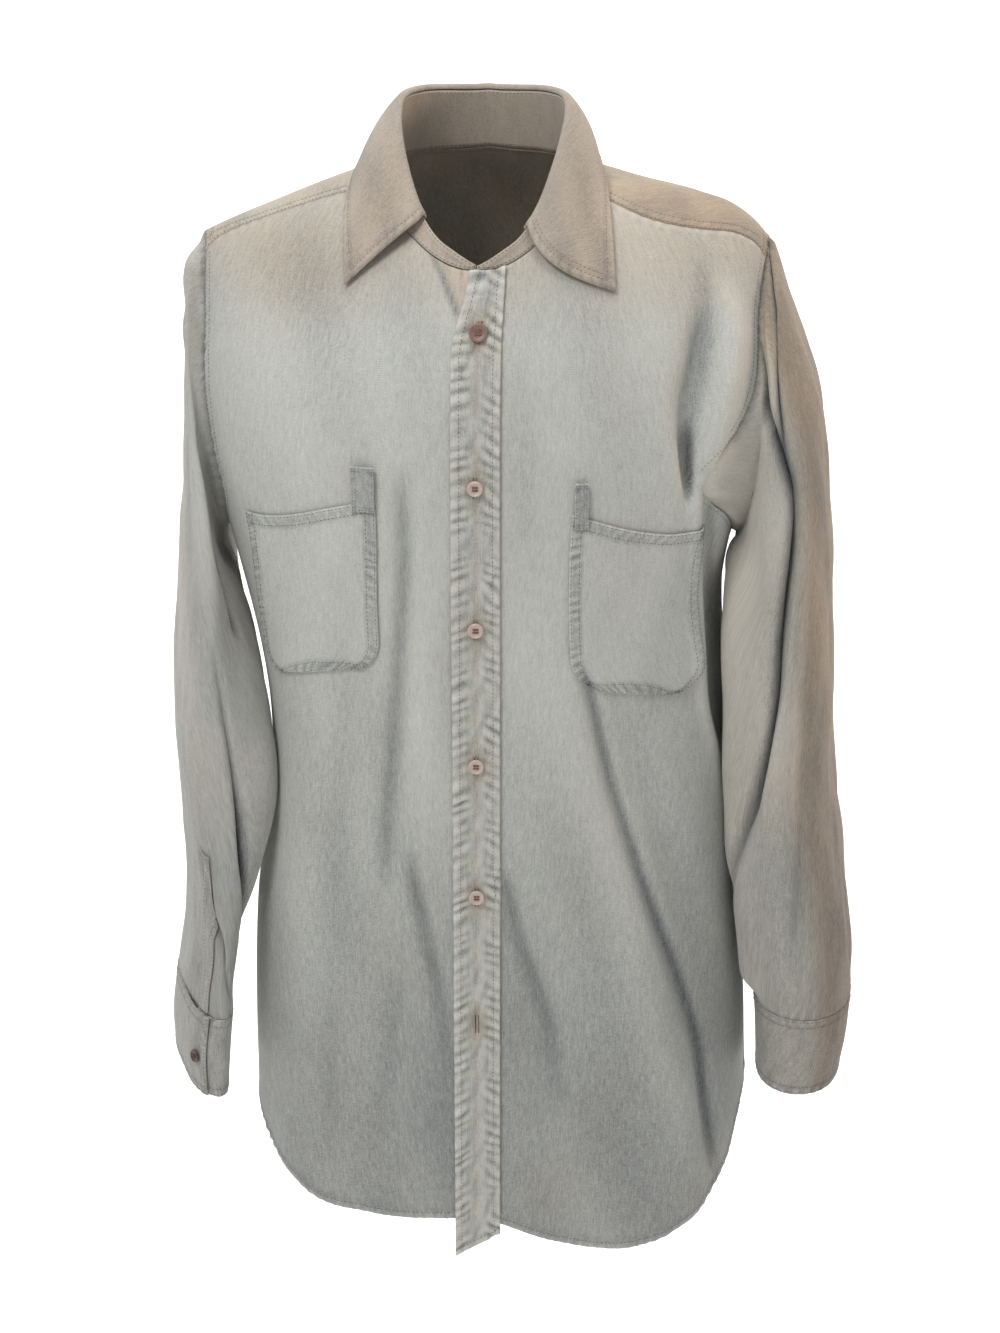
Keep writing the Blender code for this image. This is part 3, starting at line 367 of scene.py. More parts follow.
@dataclass(frozen=True)
class Paper:
    """The plain pale studio floor."""

    colour: tuple[float, float, float] = (0.90, 0.90, 0.89)
    glow: float = 0.45

    def dress(self) -> bpy.types.Material:
        """Build the material, mottled by less than the eye sees."""
        dye = Dye("studio_paper")
        space = dye.add("TexCoord").outputs["Object"]
        light = dye.sum_of((dye.noise(space, (3.0, 3.0, 3.0)), 0.5, 0.02))
        shade = dye.add("VectorMath", {"operation": "SCALE"}, in0=self.colour, Scale=light)
        dye.feed(dye.shader.inputs["Base Color"], shade.outputs[0])
        dye.shader.inputs["Roughness"].default_value = 0.95
        dye.shader.inputs["Emission Color"].default_value = (1.0, 1.0, 1.0, 1.0)
        dye.shader.inputs["Emission Strength"].default_value = self.glow
        return dye.material


class Finishes:
    """Every finish of the shirt, dressed once and shared."""

    def __init__(self) -> None:
        """Dress the finishes."""
        self.body = Denim("washed_denim").dress()
        self.doubled = Denim("washed_denim_doubled", warmth=0.07, streaks=0.4).dress()
        self.sleeve = Denim("washed_denim_sleeve", colour=(0.47, 0.475, 0.445), warmth=0.07).dress()
        self.collar = Denim("yellowed_denim", colour=(0.445, 0.400, 0.340), warm=(0.40, 0.300, 0.215),
                            warmth=0.16, speckle=0.60, streaks=0.26).dress()
        self.thread = Thread("thread_grey", colour=(0.155, 0.145, 0.135)).dress()
        self.warm_thread = Thread("thread_tan", colour=(0.27, 0.155, 0.10)).dress()
        self.dark_thread = Thread("thread_brown", colour=(0.10, 0.055, 0.04)).dress()
        self.button_thread = Thread("thread_button", colour=(0.24, 0.13, 0.10)).dress()
        self.brown = Moulded("button_brown", (0.19, 0.105, 0.085), (0.30, 0.19, 0.155)).dress()
        self.dark = Moulded("button_dark", (0.075, 0.035, 0.028), (0.14, 0.07, 0.05)).dress()
        self.cream = Moulded("button_cream", (0.50, 0.37, 0.31), (0.62, 0.52, 0.45)).dress()


# --- meshes ------------------------------------------------------------------------------------------------
def grid_faces(rows: int, cols: int, closed: bool) -> Array:
    """Corner indices of a grid's four-sided cells, row by row.

    Args:
        rows: points down the grid.
        cols: points across it.
        closed: whether the last column joins the first.

    Returns:
        Four indices for each cell.
    """
    r, c = np.meshgrid(np.arange(rows - 1), np.arange(cols if closed else cols - 1), indexing="ij")
    n = (c + 1) % cols
    above, below = r * cols, (r + 1) * cols
    return np.stack([above + c, above + n, below + n, below + c], axis=-1).reshape(-1, 4)


def mesh_object(name: str, points: Array, faces: list[Array],
                material: bpy.types.Material) -> bpy.types.Object:
    """An object from whole arrays of points and of faces.

    Args:
        name: the object's name.
        points: places of the points.
        faces: arrays of corner indices, each array with its own number of corners.
        material: the finish.

    Returns:
        The object, smooth-shaded, at the origin.
    """
    mesh = bpy.data.meshes.new(name)
    points = np.asarray(points, float).reshape(-1, 3)
    corners = np.concatenate([f.ravel() for f in faces])
    sizes = np.concatenate([np.full(len(f), f.shape[1]) for f in faces])
    mesh.vertices.add(len(points))
    mesh.vertices.foreach_set("co", points.ravel())
    mesh.loops.add(len(corners))
    mesh.loops.foreach_set("vertex_index", corners.astype(np.int32))
    mesh.polygons.add(len(sizes))
    mesh.polygons.foreach_set("loop_start", (np.cumsum(sizes) - sizes).astype(np.int32))
    mesh.update(calc_edges=True)
    mesh.validate()
    mesh.polygons.foreach_set("use_smooth", np.ones(len(mesh.polygons), bool))
    mesh.materials.append(material)
    item = bpy.data.objects.new(name, mesh)
    bpy.context.scene.collection.objects.link(item)
    return item


# a turned edge: the widths of its step down and of its roll, how pale its worn rim is and how dark the
# painted shade at its foot
FOLD_STEP, EDGE_ROLL, EDGE_WORN, FOLD_FOOT_SHADE = 0.0014, 0.0012, 0.07, 0.10


@dataclass
class Cloth:
    """A layer of cloth: a grid of points on its middle, with normals, brightness and yellowing at each."""

    points: Array
    normals: Array
    closed: bool = False
    fade: Array | None = None
    warm: Array | None = None

    def __post_init__(self) -> None:
        """Start with even brightness and no yellowing where none is given."""
        self.points = self.points.copy()
        self.normals = np.broadcast_to(self.normals, self.points.shape).copy()
        self.fade = np.zeros(self.points.shape[:2]) if self.fade is None else self.fade
        self.warm = np.zeros(self.points.shape[:2]) if self.warm is None else self.warm

    def steps(self, axis: int) -> Array:
        """Lengths from the first point along an axis of the grid, nought at that point."""
        gaps = np.linalg.norm(np.diff(self.points, axis=axis), axis=-1)
        start = np.zeros_like(np.take(gaps, [0], axis=axis))
        return np.concatenate([start, np.cumsum(gaps, axis=axis)], axis=axis)

    def inset(self, edge: Edge) -> Array:
        """Every point's distance from an edge, along the cloth."""
        lengths = self.steps(0 if edge in (Edge.TOP, Edge.FOOT) else 1)
        if edge is Edge.FOOT:
            return lengths[-1:] - lengths
        return lengths[:, -1:] - lengths if edge is Edge.LAST else lengths

    def beside(self, edge: Edge) -> Array:
        """Every point's distance along an edge, measured on the edge itself."""
        lengths = self.steps(1 if edge in (Edge.TOP, Edge.FOOT) else 0)
        at = {Edge.TOP: lengths[:1], Edge.FOOT: lengths[-1:],
              Edge.FIRST: lengths[:, :1], Edge.LAST: lengths[:, -1:]}
        return np.broadcast_to(at[edge], lengths.shape)

    def push(self, amount: Array) -> "Cloth":
        """Move every point along its normal."""
        self.points += self.normals * np.asarray(amount)[..., None]
        return self

    def draw_in(self, by: float, *edges: Edge) -> "Cloth":
        """Move edges in towards their neighbours, which opens the seams."""
        p = self.points
        for edge in edges:
            if edge is Edge.TOP:
                p[0] += unit(p[1] - p[0]) * by
            elif edge is Edge.FOOT:
                p[-1] += unit(p[-2] - p[-1]) * by
            elif edge is Edge.FIRST:
                p[:, 0] += unit(p[:, 1] - p[:, 0]) * by
            else:
                p[:, -1] += unit(p[:, -2] - p[:, -1]) * by
        return self

    def face_again(self) -> "Cloth":
        """Work the normals out again from the grid, on the side that the old ones point to."""
        p = self.points
        down = np.gradient(p, axis=0)
        if self.closed:
            across = (np.roll(p, -1, axis=1) - np.roll(p, 1, axis=1)) / 2
        else:
            across = np.gradient(p, axis=1)
        fresh = unit(np.cross(down, across))
        side = np.sign((fresh * self.normals).sum())
        self.normals = fresh * (side if side else 1.0)
        return self

    def turn_in(self, edge: Edge, width: float, rise: float) -> "Cloth":
        """A folded, doubled edge: the cloth stands higher within width of it, and rolls over at the edge."""
        away = self.inset(edge)
        step = 1 - ease((away - width) / FOLD_STEP)
        self.push(rise * step - rise * 1.2 * bell(away, EDGE_ROLL))
        self.fade += EDGE_WORN * bell(away - EDGE_ROLL, 0.0016)
        # painted shade at the foot of the step
        self.fade -= FOLD_FOOT_SHADE * bell(away - width - 0.0008, 0.0012)
        return self

    def rope(self, edge: Edge, width: float, pitch: float, height: float, seed: int, slant: float = 0.5,
             contrast: float = 0.16) -> "Cloth":
        """Puckers at a sewn edge: slanting waves that die away from the seam, paler on their crests and
        darker between, partly wear and partly painted highlight and shade.

        Args:
            edge: the edge that is sewn.
            width: distance from the edge over which the puckers reach.
            pitch: distance from pucker to pucker.
            height: how high they stand.
            seed: number that fixes their unevenness.
            slant: how far a pucker leans along the edge for each metre inwards.
            contrast: how much brighter the crests are and darker the hollows, as wear and painted highlight
                and shade.

        Returns:
            The cloth itself.
        """
        away, along = self.inset(edge), self.beside(edge)
        wobble = ripple(along, away * 0, pitch * 4.5, 1.0, seed, 5) * 0.9
        uneven = 0.65 + 0.5 * ripple(along, away * 0, pitch * 7, 1.0, seed + 1, 4)
        wave = np.sin(2 * math.pi * (along + slant * away) / pitch + 2 * wobble)
        reach = (1 - ease((away - width * 0.6) / (width * 0.8))) * uneven
        self.push(height * wave * reach)
        # crests paled by wear and lit as painted highlight, hollows darkened as painted shade
        self.fade += contrast * wave * reach
        return self

    def mark(self, at: Array, half: Array, fade: float = 0.0, warm: float = 0.0) -> "Cloth":
        """Brighten or yellow the cloth within half of a point in space."""
        near = bell(np.linalg.norm((self.points - np.asarray(at)) / np.asarray(half), axis=-1), 1.0)
        self.fade += fade * near
        self.warm += warm * near
        return self

    def beside_edge(self, edge: Edge, inset: float, skip: float = 0.0) -> tuple[Array, Array]:
        """The line that runs along an edge at a distance inside it.

        Args:
            edge: the edge.
            inset: distance from it.
            skip: length left off at both ends of the line.

        Returns:
            Points of the line and the cloth's normals there.
        """
        swap = edge in (Edge.TOP, Edge.FOOT)
        points, normals, away = self.points, self.normals, self.inset(edge)
        if swap:
            points, normals, away = points.swapaxes(0, 1), normals.swapaxes(0, 1), away.T
        if edge in (Edge.FOOT, Edge.LAST):
            points, normals, away = points[:, ::-1], normals[:, ::-1], away[:, ::-1]
        low = np.clip((away < inset).sum(axis=1) - 1, 0, away.shape[1] - 2)
        rows = np.arange(len(away))
        t = ((inset - away[rows, low]) / (away[rows, low + 1] - away[rows, low]))[:, None]
        line = points[rows, low] * (1 - t) + points[rows, low + 1] * t
        facing = unit(normals[rows, low] * (1 - t) + normals[rows, low + 1] * t)
        if skip:
            length = lengths_along(line)
            keep = (length >= skip) & (length <= length[-1] - skip)
            line, facing = line[keep], facing[keep]
        return line, facing

    def lay(self, name: str, node: str, thickness: float, material: bpy.types.Material) -> bpy.types.Object:
        """Make the cloth a thin shell in place of its solid.

        Args:
            name: the object's name.
            node: the solid that it stands for.
            thickness: the cloth's thickness.
            material: the finish.

        Returns:
            The object.
        """
        rows, cols = self.points.shape[:2]
        faces = grid_faces(rows, cols, self.closed)
        flat = self.points.reshape(-1, 3)
        a, b, c = (flat[faces[:, k]] for k in (0, 1, 3))
        facing = (np.cross(b - a, c - a) * self.normals.reshape(-1, 3)[faces[:, 0]]).sum()
        across, down = self.steps(1), self.steps(0)
        if self.closed:
            last = across[:, -1:] + np.linalg.norm(self.points[:, :1] - self.points[:, -1:], axis=-1)
            across = np.concatenate([across, last], axis=1)
            down = np.concatenate([down, down[:, :1]], axis=1)
        corners = grid_faces(rows, across.shape[1], False)
        if facing < 0:
            faces, corners = faces[:, ::-1], corners[:, ::-1]
        item = mesh_object(name, flat, [faces], material)
        lengths = np.stack([across.ravel(), down.ravel()], axis=1)[corners.ravel()]
        item.data.uv_layers.new(name="cloth").data.foreach_set("uv", lengths.ravel())
        for word, values in (("fade", self.fade), ("warm", self.warm)):
            item.data.attributes.new(word, "FLOAT", "POINT").data.foreach_set("value", values.ravel())
        shell = item.modifiers.new("thickness", "SOLIDIFY")
        shell.thickness, shell.offset, shell.use_even_offset = thickness, 0.0, False
        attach(item, "root")
        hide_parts(node)
        self.item = item
        return item

    def flat_size(self) -> tuple[tuple[float, float], float]:
        """The cut's width and length, each the longest along the grid, and its area."""
        faces = grid_faces(*self.points.shape[:2], self.closed)
        p = self.points.reshape(-1, 3)[faces]
        area = (np.linalg.norm(np.cross(p[:, 1] - p[:, 0], p[:, 2] - p[:, 0]), axis=1)
                + np.linalg.norm(np.cross(p[:, 2] - p[:, 0], p[:, 3] - p[:, 0]), axis=1)).sum() / 2
        width = self.steps(1)[:, -1].max()
        if self.closed:
            gap = np.linalg.norm(self.points[:, 0] - self.points[:, -1], axis=-1)
            width = (self.steps(1)[:, -1] + gap).max()
        length = max(self.steps(0)[-1].max(), area / width)
        return (round(float(width), 3), round(float(length), 3)), round(float(area), 4)

    def declare(self, held: str, rests_on: tuple[str, ...] = (),
                with_pieces: tuple[bpy.types.Object, ...] = ()) -> None:
        """Log the cut's size and area."""
        flat, area = self.flat_size()
        area = min(area, flat[0] * flat[1])
        LOG.info("%s: cut %.3f x %.3f m, %.4f m2", self.item.name, *flat, area)


class Stitching:
    """Rows of stitches gathered into one mesh, each stitch a low capsule half sunk in the cloth."""

    def __init__(self, thread: Thread) -> None:
        """Start with no rows."""
        self.thread = thread
        self.rows: list[Array] = []

    def sew(self, line: tuple[Array, Array], lift: float, pitch: float | None = None) -> None:
        """Add a row along a line.

        Args:
            line: points and normals of the line.
            lift: how far the row lies above those points.
            pitch: distance from stitch to stitch, where it isn't the thread's own.
        """
        points, normals = line
        if len(points) < 2:
            return
        pitch = pitch or self.thread.pitch
        points = points + normals * lift
        length = lengths_along(points)
        count = max(int(length[-1] / pitch), 1)
        middle = (np.arange(count) + 0.5) * length[-1] / count
        half = pitch * self.thread.share / 2
        here, back, ahead = (np.stack([np.interp(middle + d, length, points[:, k]) for k in range(3)], axis=1)
                             for d in (0, -half, half))
        up = unit(np.stack([np.interp(middle, length, normals[:, k]) for k in range(3)], axis=1))
        along = unit(ahead - back)
        aside = unit(np.cross(up, along))
        up = np.cross(along, aside)
        turn = np.arange(4) * math.pi / 2 + math.pi / 4
        around = (aside[:, None] * np.cos(turn)[None, :, None] + up[:, None] * np.sin(turn)[None, :, None])
        radius = self.thread.radius
        ends = [here - along * half - up * radius, here + along * half - up * radius]
        hoops = [here[:, None] + along[:, None] * half * s + around * radius for s in (-0.6, 0.6)]
        self.rows.append(np.concatenate([ends[0][:, None], *hoops, ends[1][:, None]], axis=1))

    def finish(self, name: str, node: str, material: bpy.types.Material) -> bpy.types.Object:
        """Make one object of all the rows.

        Args:
            name: the object's name.
            node: the solid that it belongs to; not used.
            material: the thread's finish.

        Returns:
            The object.
        """
        points = np.concatenate(self.rows)
        k = np.arange(4)
        n = (k + 1) % 4
        start = np.stack([np.zeros(4, int), 1 + n, 1 + k], axis=1)
        end = np.stack([np.full(4, 9), 5 + k, 5 + n], axis=1)
        side = np.stack([1 + k, 1 + n, 5 + n, 5 + k], axis=1)
        first = (np.arange(len(points)) * 10)[:, None, None]
        triangles = (np.concatenate([start, end])[None] + first).reshape(-1, 3)
        item = mesh_object(name, points, [triangles, (side[None] + first).reshape(-1, 4)], material)
        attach(item, "root")
        return item


# --- the body's form ---------------------------------------------------------------------------------------
@dataclass
class BodyForm:
    """The surface of the worn body: level superellipses that round over at the shoulder ridge."""

    squareness: float = 2.5
    ridge_y: float = 0.012
    # the steepest ridge and trough that still gain wear and painted shade, and how narrow that line is
    steepest: tuple[float, float] = (-0.45, 1.5)
    wear_and_shade_share: float = 0.8
    # unevenness: how high it stands
    soft: float = 0.0011
    fine: float = 0.00032
    round_front: float = 0.20
    round_back: float = 0.16
    arm_top: float = -0.0555
    arm_bottom: float = -0.275
    arm_steps: int = 24
    arm_depth: float = 0.40
    # drop below the origin, half-width on the wearer's right and left, depth before and behind the ridge
    sections: Array = table(
        (-0.02, 0.206, 0.206, 0.137, 0.130), (0.055, 0.207, 0.207, 0.137, 0.130),
        (0.100, 0.2135, 0.209, 0.137, 0.130), (0.150, 0.2175, 0.212, 0.137, 0.132),
        (0.200, 0.211, 0.204, 0.138, 0.133), (0.250, 0.199, 0.190, 0.138, 0.131),
        (0.310, 0.185, 0.180, 0.137, 0.127), (0.370, 0.173, 0.183, 0.136, 0.122),
        (0.430, 0.166, 0.188, 0.135, 0.118), (0.500, 0.168, 0.194, 0.135, 0.117),
        (0.570, 0.179, 0.199, 0.136, 0.119), (0.650, 0.186, 0.206, 0.137, 0.123),
        (0.750, 0.188, 0.212, 0.137, 0.126), (0.860, 0.188, 0.213, 0.136, 0.127))
    # distance from the centre, height of the shoulder ridge
    ridge_right: Array = table((0.0, 0.0095), (0.04, 0.004), (0.07, -0.002), (0.10, -0.0115), (0.15, -0.031),
                               (0.207, -0.0555), (0.23, -0.068))
    ridge_left: Array = table((0.0, 0.0095), (0.04, 0.004), (0.07, -0.002), (0.113, -0.0135),
                              (0.157, -0.0240), (0.183, -0.0335), (0.199, -0.0460), (0.207, -0.0555),
                              (0.23, -0.0840))
    # creases in millimetres: z, x of the line, half-width, depth (below nought is a ridge)
    front_creases: tuple[Array, ...] = field(default_factory=lambda: lines(
        IN_MM,
        [(-190, -50, 7, 0), (-218, -51.3, 7, 4.8), (-263, -50.8, 7, 6.6), (-325, -54.4, 7.5, 7.2),
         (-389, -59.1, 8, 6.6), (-455, -65.2, 8, 5.2), (-505, -68.9, 8, 4.6), (-535, -68, 8, 0)],
        [(-225, -30, 18, 0), (-300, -34, 18, -4), (-450, -40, 18, -3.8), (-530, -43, 18, 0)],
        [(-488, -50, 7, 0), (-512, -48.7, 7, 5), (-560, -39.8, 7, 5.6), (-619, -28.4, 8, 4.6),
         (-670, -22, 9, 2.8), (-720, -21, 10, 0)],
        [(-560, -56, 10, 0), (-630, -64, 11, 3.6), (-705, -72, 12, 3), (-760, -76, 12, 0)],
        [(-340, 77, 4.5, 0), (-363, 82.6, 5, 5), (-405, 91, 5.5, 7.4), (-446, 100.4, 5.8, 8),
         (-479, 110.2, 6, 8.4), (-545, 130.1, 6, 8.8), (-623, 155.5, 5.8, 8.8), (-670, 168.3, 5.6, 8.4),
         (-726, 175.7, 5.6, 7.4), (-776, 183.1, 5.6, 5), (-800, 186, 5.6, 1)],
        [(-330, 90, 14, 0), (-401, 108, 16, 4), (-528, 148, 17, 5.2), (-652, 180, 16, 5), (-750, 194, 16, 3),
         (-790, 197, 16, 0)],
        [(-340, 50, 22, 0), (-420, 72, 22, -6), (-600, 122, 20, -7.2), (-740, 158, 18, -5),
         (-800, 167, 18, 0)],
        [(-500, 16, 7, 0), (-516, 20.6, 7, 3.4), (-566, 32, 7.5, 5.2), (-626, 51.7, 8, 5), (-680, 61, 9, 2.8),
         (-715, 66, 10, 0)],
        [(-85, 157, 12, 0), (-118, 156, 12, 6), (-148, 150, 10.5, 9), (-172, 150.2, 8.5, 11),
         (-190, 150.8, 6.4, 10.5), (-206, 151.4, 4.8, 8.5), (-219, 151.8, 4, 5), (-232, 152, 3.8, 0)],
        [(-165, 150, 4, 0), (-182, 150.6, 4.2, 4.4), (-200, 151.4, 3.8, 5.6), (-214, 151.9, 3.2, 4.4),
         (-226, 152.1, 3, 0)],
        [(-45, 155.9, 11, 0), (-72, 158, 10, 5), (-100, 160.5, 10, 6.2), (-130, 160, 9, 5.8),
         (-155, 157, 8, 3), (-170, 156, 8, 0)],
        [(-60, 174.5, 11, 0), (-81, 174.4, 11, -5), (-115, 180, 12, -6.6), (-150, 177, 11, -6.6),
         (-190, 169, 10, -5), (-215, 165, 10, 0)],
        [(-205, 157.5, 6, 0), (-230, 158, 6, -3.6), (-276, 159.2, 6, -4.2), (-342, 161.8, 6, -4.6),
         (-392, 167.2, 6, -4.6), (-448, 180.2, 6, -3.6), (-503, 188.9, 6, -2.6), (-560, 195.5, 6, 0)],
        [(-212, 166.5, 5.8, 0), (-235, 167, 6, 5), (-281, 168.4, 6.2, 7), (-349, 172.2, 6.2, 7.8),
         (-396, 176, 6, 7), (-440, 185, 5.6, 4), (-480, 190, 5, 0)],
        [(-380, -128, 30, 0), (-480, -136, 30, -4.2), (-660, -142, 30, -4), (-770, -142, 30, 0)],
        [(-300, -100, 10, 0), (-360, -98, 12, 2.6), (-500, -106, 13, 3.2), (-600, -112, 12, 0)],
        [(-600, -110, 10, 0), (-660, -116, 12, 2.8), (-740, -118, 12, 2.4), (-790, -120, 12, 0)],
        [(-110, 30, 10, 0), (-150, 33, 12, 1.8), (-260, 38, 13, 2), (-330, 40, 12, 0)]))
    back_creases: tuple[Array, ...] = field(default_factory=lambda: lines(
        IN_MM,
        [(-160, -58, 14, 0), (-220, -62, 15, 6), (-420, -78, 18, 8), (-600, -85, 18, 5), (-680, -87, 18, 0)],
        [(-270, 21, 18, 0), (-360, 14, 20, 5.5), (-600, 6, 21, 6.5), (-740, 8, 20, 4), (-800, 10, 20, 0)],
        [(-145, 84, 14, 0), (-210, 84, 16, 7.5), (-400, 94, 18, 9), (-560, 114, 18, 5), (-630, 122, 18, 0)],
        [(-300, -124, 18, 0), (-400, -128, 20, 5), (-650, -142, 20, 5), (-780, -151, 20, 0)],
        [(-390, 50, 22, 0), (-500, 55, 24, -4.5), (-700, 64, 24, -5), (-815, 66, 24, 0)],
        [(-185, -12, 10, 0), (-230, -16, 11, 3), (-330, -24, 12, 3), (-400, -30, 12, 0)],
        [(-480, -40, 12, 0), (-560, -44, 13, 3), (-700, -40, 14, 3.5), (-800, -36, 13, 0)]))

    def half_width(self, sign: Array, z: Array) -> Array:
        """Half-width of the level section at z, on the side that sign points to."""
        drop = self.sections[:, 0]
        return np.where(sign < 0, curve(-z, drop, self.sections[:, 1]), curve(-z, drop, self.sections[:, 2]))

    def reach(self, phi: Array, z: Array, back: Array) -> Array:
        """How far the section lies before or behind the ridge at phi: depth by a power of the cosine."""
        drop = self.sections[:, 0]
        depth = np.where(back, curve(-z, drop, self.sections[:, 4]), curve(-z, drop, self.sections[:, 3]))
        return depth * np.abs(np.cos(phi)) ** (2 / self.squareness)

    def section_x(self, phi: Array, z: Array) -> Array:
        """x of the section at angle phi: half-width by a power of the sine."""
        return np.sign(phi) * self.half_width(phi, z) * np.abs(np.sin(phi)) ** (2 / self.squareness)

    def section_angle(self, x: Array, z: Array) -> Array:
        """The angle at which the section has this x."""
        share = np.clip(np.abs(x) / self.half_width(x, z), 0, 1)
        return np.sign(x) * np.arcsin(share ** (self.squareness / 2))

    def ridge_height(self, x: Array) -> Array:
        """Height of the shoulder ridge at x."""
        return np.where(x < 0, curve(-x, self.ridge_right[:, 0], self.ridge_right[:, 1]),
                        curve(x, self.ridge_left[:, 0], self.ridge_left[:, 1]))

    def point(self, phi: Array, z: Array, back: Array) -> Array:
        """A point of the body: the superellipse at z, drawn in towards the ridge along a quarter ellipse."""
        x = self.section_x(phi, z)
        rounding = np.where(back, self.round_back, self.round_front)
        t = np.clip((self.ridge_height(x) - z) / rounding, 0, 1)
        y = self.ridge_y + np.where(back, 1.0, -1.0) * self.reach(phi, z, back) * np.sqrt(1 - (1 - t) ** 2)
        return np.stack(np.broadcast_arrays(x, y, z), axis=-1)

    def over(self, phi: Array, psi: Array) -> Array:
        """The same surface near the ridge, by the angle psi over it: below nought before it, above behind."""
        back = psi > 0
        rounding = np.where(back, self.round_back, self.round_front)
        z = np.full(np.broadcast(phi, psi).shape, self.arm_top)
        for _ in range(8):
            x = self.section_x(phi, z)
            z = self.ridge_height(x) - rounding * (1 - np.cos(psi))
        y = self.ridge_y + self.reach(phi, z, back) * np.sin(psi)
        return np.stack(np.broadcast_arrays(x, y, z), axis=-1)

    def over_angle(self, phi: Array, z: Array, back: Array) -> Array:
        """psi of the point of the body at angle phi and height z."""
        rounding = np.where(back, self.round_back, self.round_front)
        t = np.clip((self.ridge_height(self.section_x(phi, z)) - z) / rounding, 0, 1)
        return np.where(back, 1, -1) * np.arccos(1 - t)

    def height_at(self, x: Array, y: Array) -> tuple[Array, Array]:
        """z of the upper body above a plan point, and its section angle."""
        back = y > self.ridge_y
        rounding = np.where(back, self.round_back, self.round_front)
        z = np.full(np.shape(x), self.arm_top)
        for _ in range(12):
            phi = self.section_angle(x, z)
            share = np.clip(np.abs(y - self.ridge_y) / np.maximum(self.reach(phi, z, back), 1e-6), 0, 1)
            z = self.ridge_height(x) - rounding * (1 - np.sqrt(1 - share ** 2))
        return z, self.section_angle(x, z)

    def normal(self, phi: Array, z: Array, back: Array) -> Array:
        """Outward normal of the body, from small steps along the section and up."""
        most = math.pi / 2
        inside = np.clip(phi, -most + 0.10, most - 0.10)
        along = (self.point(np.minimum(phi + 0.01, most), z, back)
                 - self.point(np.maximum(phi - 0.01, -most), z, back))
        upward = self.point(inside, z + 0.002, back) - self.point(inside, z - 0.002, back)
        return unit(np.cross(along, upward)) * np.where(back, -1.0, 1.0)[..., None]

    def over_normal(self, phi: Array, psi: Array) -> Array:
        """Outward normal near the ridge, from small steps along the section and over the ridge."""
        most = math.pi / 2 - 0.10
        phi = np.clip(phi, -most, most)
        along = self.over(phi + 0.01, psi) - self.over(phi - 0.01, psi)
        across = self.over(phi, psi + 0.01) - self.over(phi, psi - 0.01)
        return unit(np.cross(along, across))

    def hollow(self, point: Array, back: Array) -> Array:
        """How far creases, each a bell across its line, and unevenness press the surface in."""
        x, z = point[..., 0], point[..., 2]
        total = np.zeros(x.shape)
        for creases, on in ((self.front_creases, ~back), (self.back_creases, back)):
            for crease in creases:
                drop = -crease[:, 0]
                line, half, depth = (curve(-z, drop, crease[:, k]) for k in (1, 2, 3))
                total += np.where(on, depth * bell(x - line, half), 0)
        soft = ripple(x + 0.3 * point[..., 1], z, 0.085, 0.34, 5) * self.soft
        fine = ripple(x, z + 0.4 * point[..., 1], 0.030, 0.13, 8) * self.fine
        return (total + soft + fine) * ease((z - self.arm_top + 0.01) / -0.05)

    def wear(self, point: Array, back: bool) -> Array:
        """How steep the creases are: above nought on a ridge, paled by wear, below it in a trough, darkened
        as painted shade.
        """
        x, z = point[..., 0], point[..., 2]
        total = np.zeros(x.shape)
        for crease in self.back_creases if back else self.front_creases:
            line, half, depth = (curve(-z, -crease[:, 0], crease[:, k]) for k in (1, 2, 3))
            steep = np.clip(depth / np.maximum(half, 1e-4), *self.steepest)
            total -= steep * bell(x - line, half * self.wear_and_shade_share)
        return total

    def on(self, phi: Array, z: Array, back: Array | bool, lift: float = 0.0) -> tuple[Array, Array]:
        """Body points with their creases, moved out by lift, and their normals."""
        back = np.broadcast_to(back, np.broadcast(phi, z).shape)
        point, normal = self.point(phi, z, back), self.normal(phi, z, back)
        return point + normal * (lift - self.hollow(point, back))[..., None], normal

    def on_yoke(self, phi: Array, psi: Array) -> tuple[Array, Array]:
        """The same near the ridge."""
        point, normal = self.over(phi, psi), self.over_normal(phi, psi)
        return point - normal * self.hollow(point, psi > 0)[..., None], normal


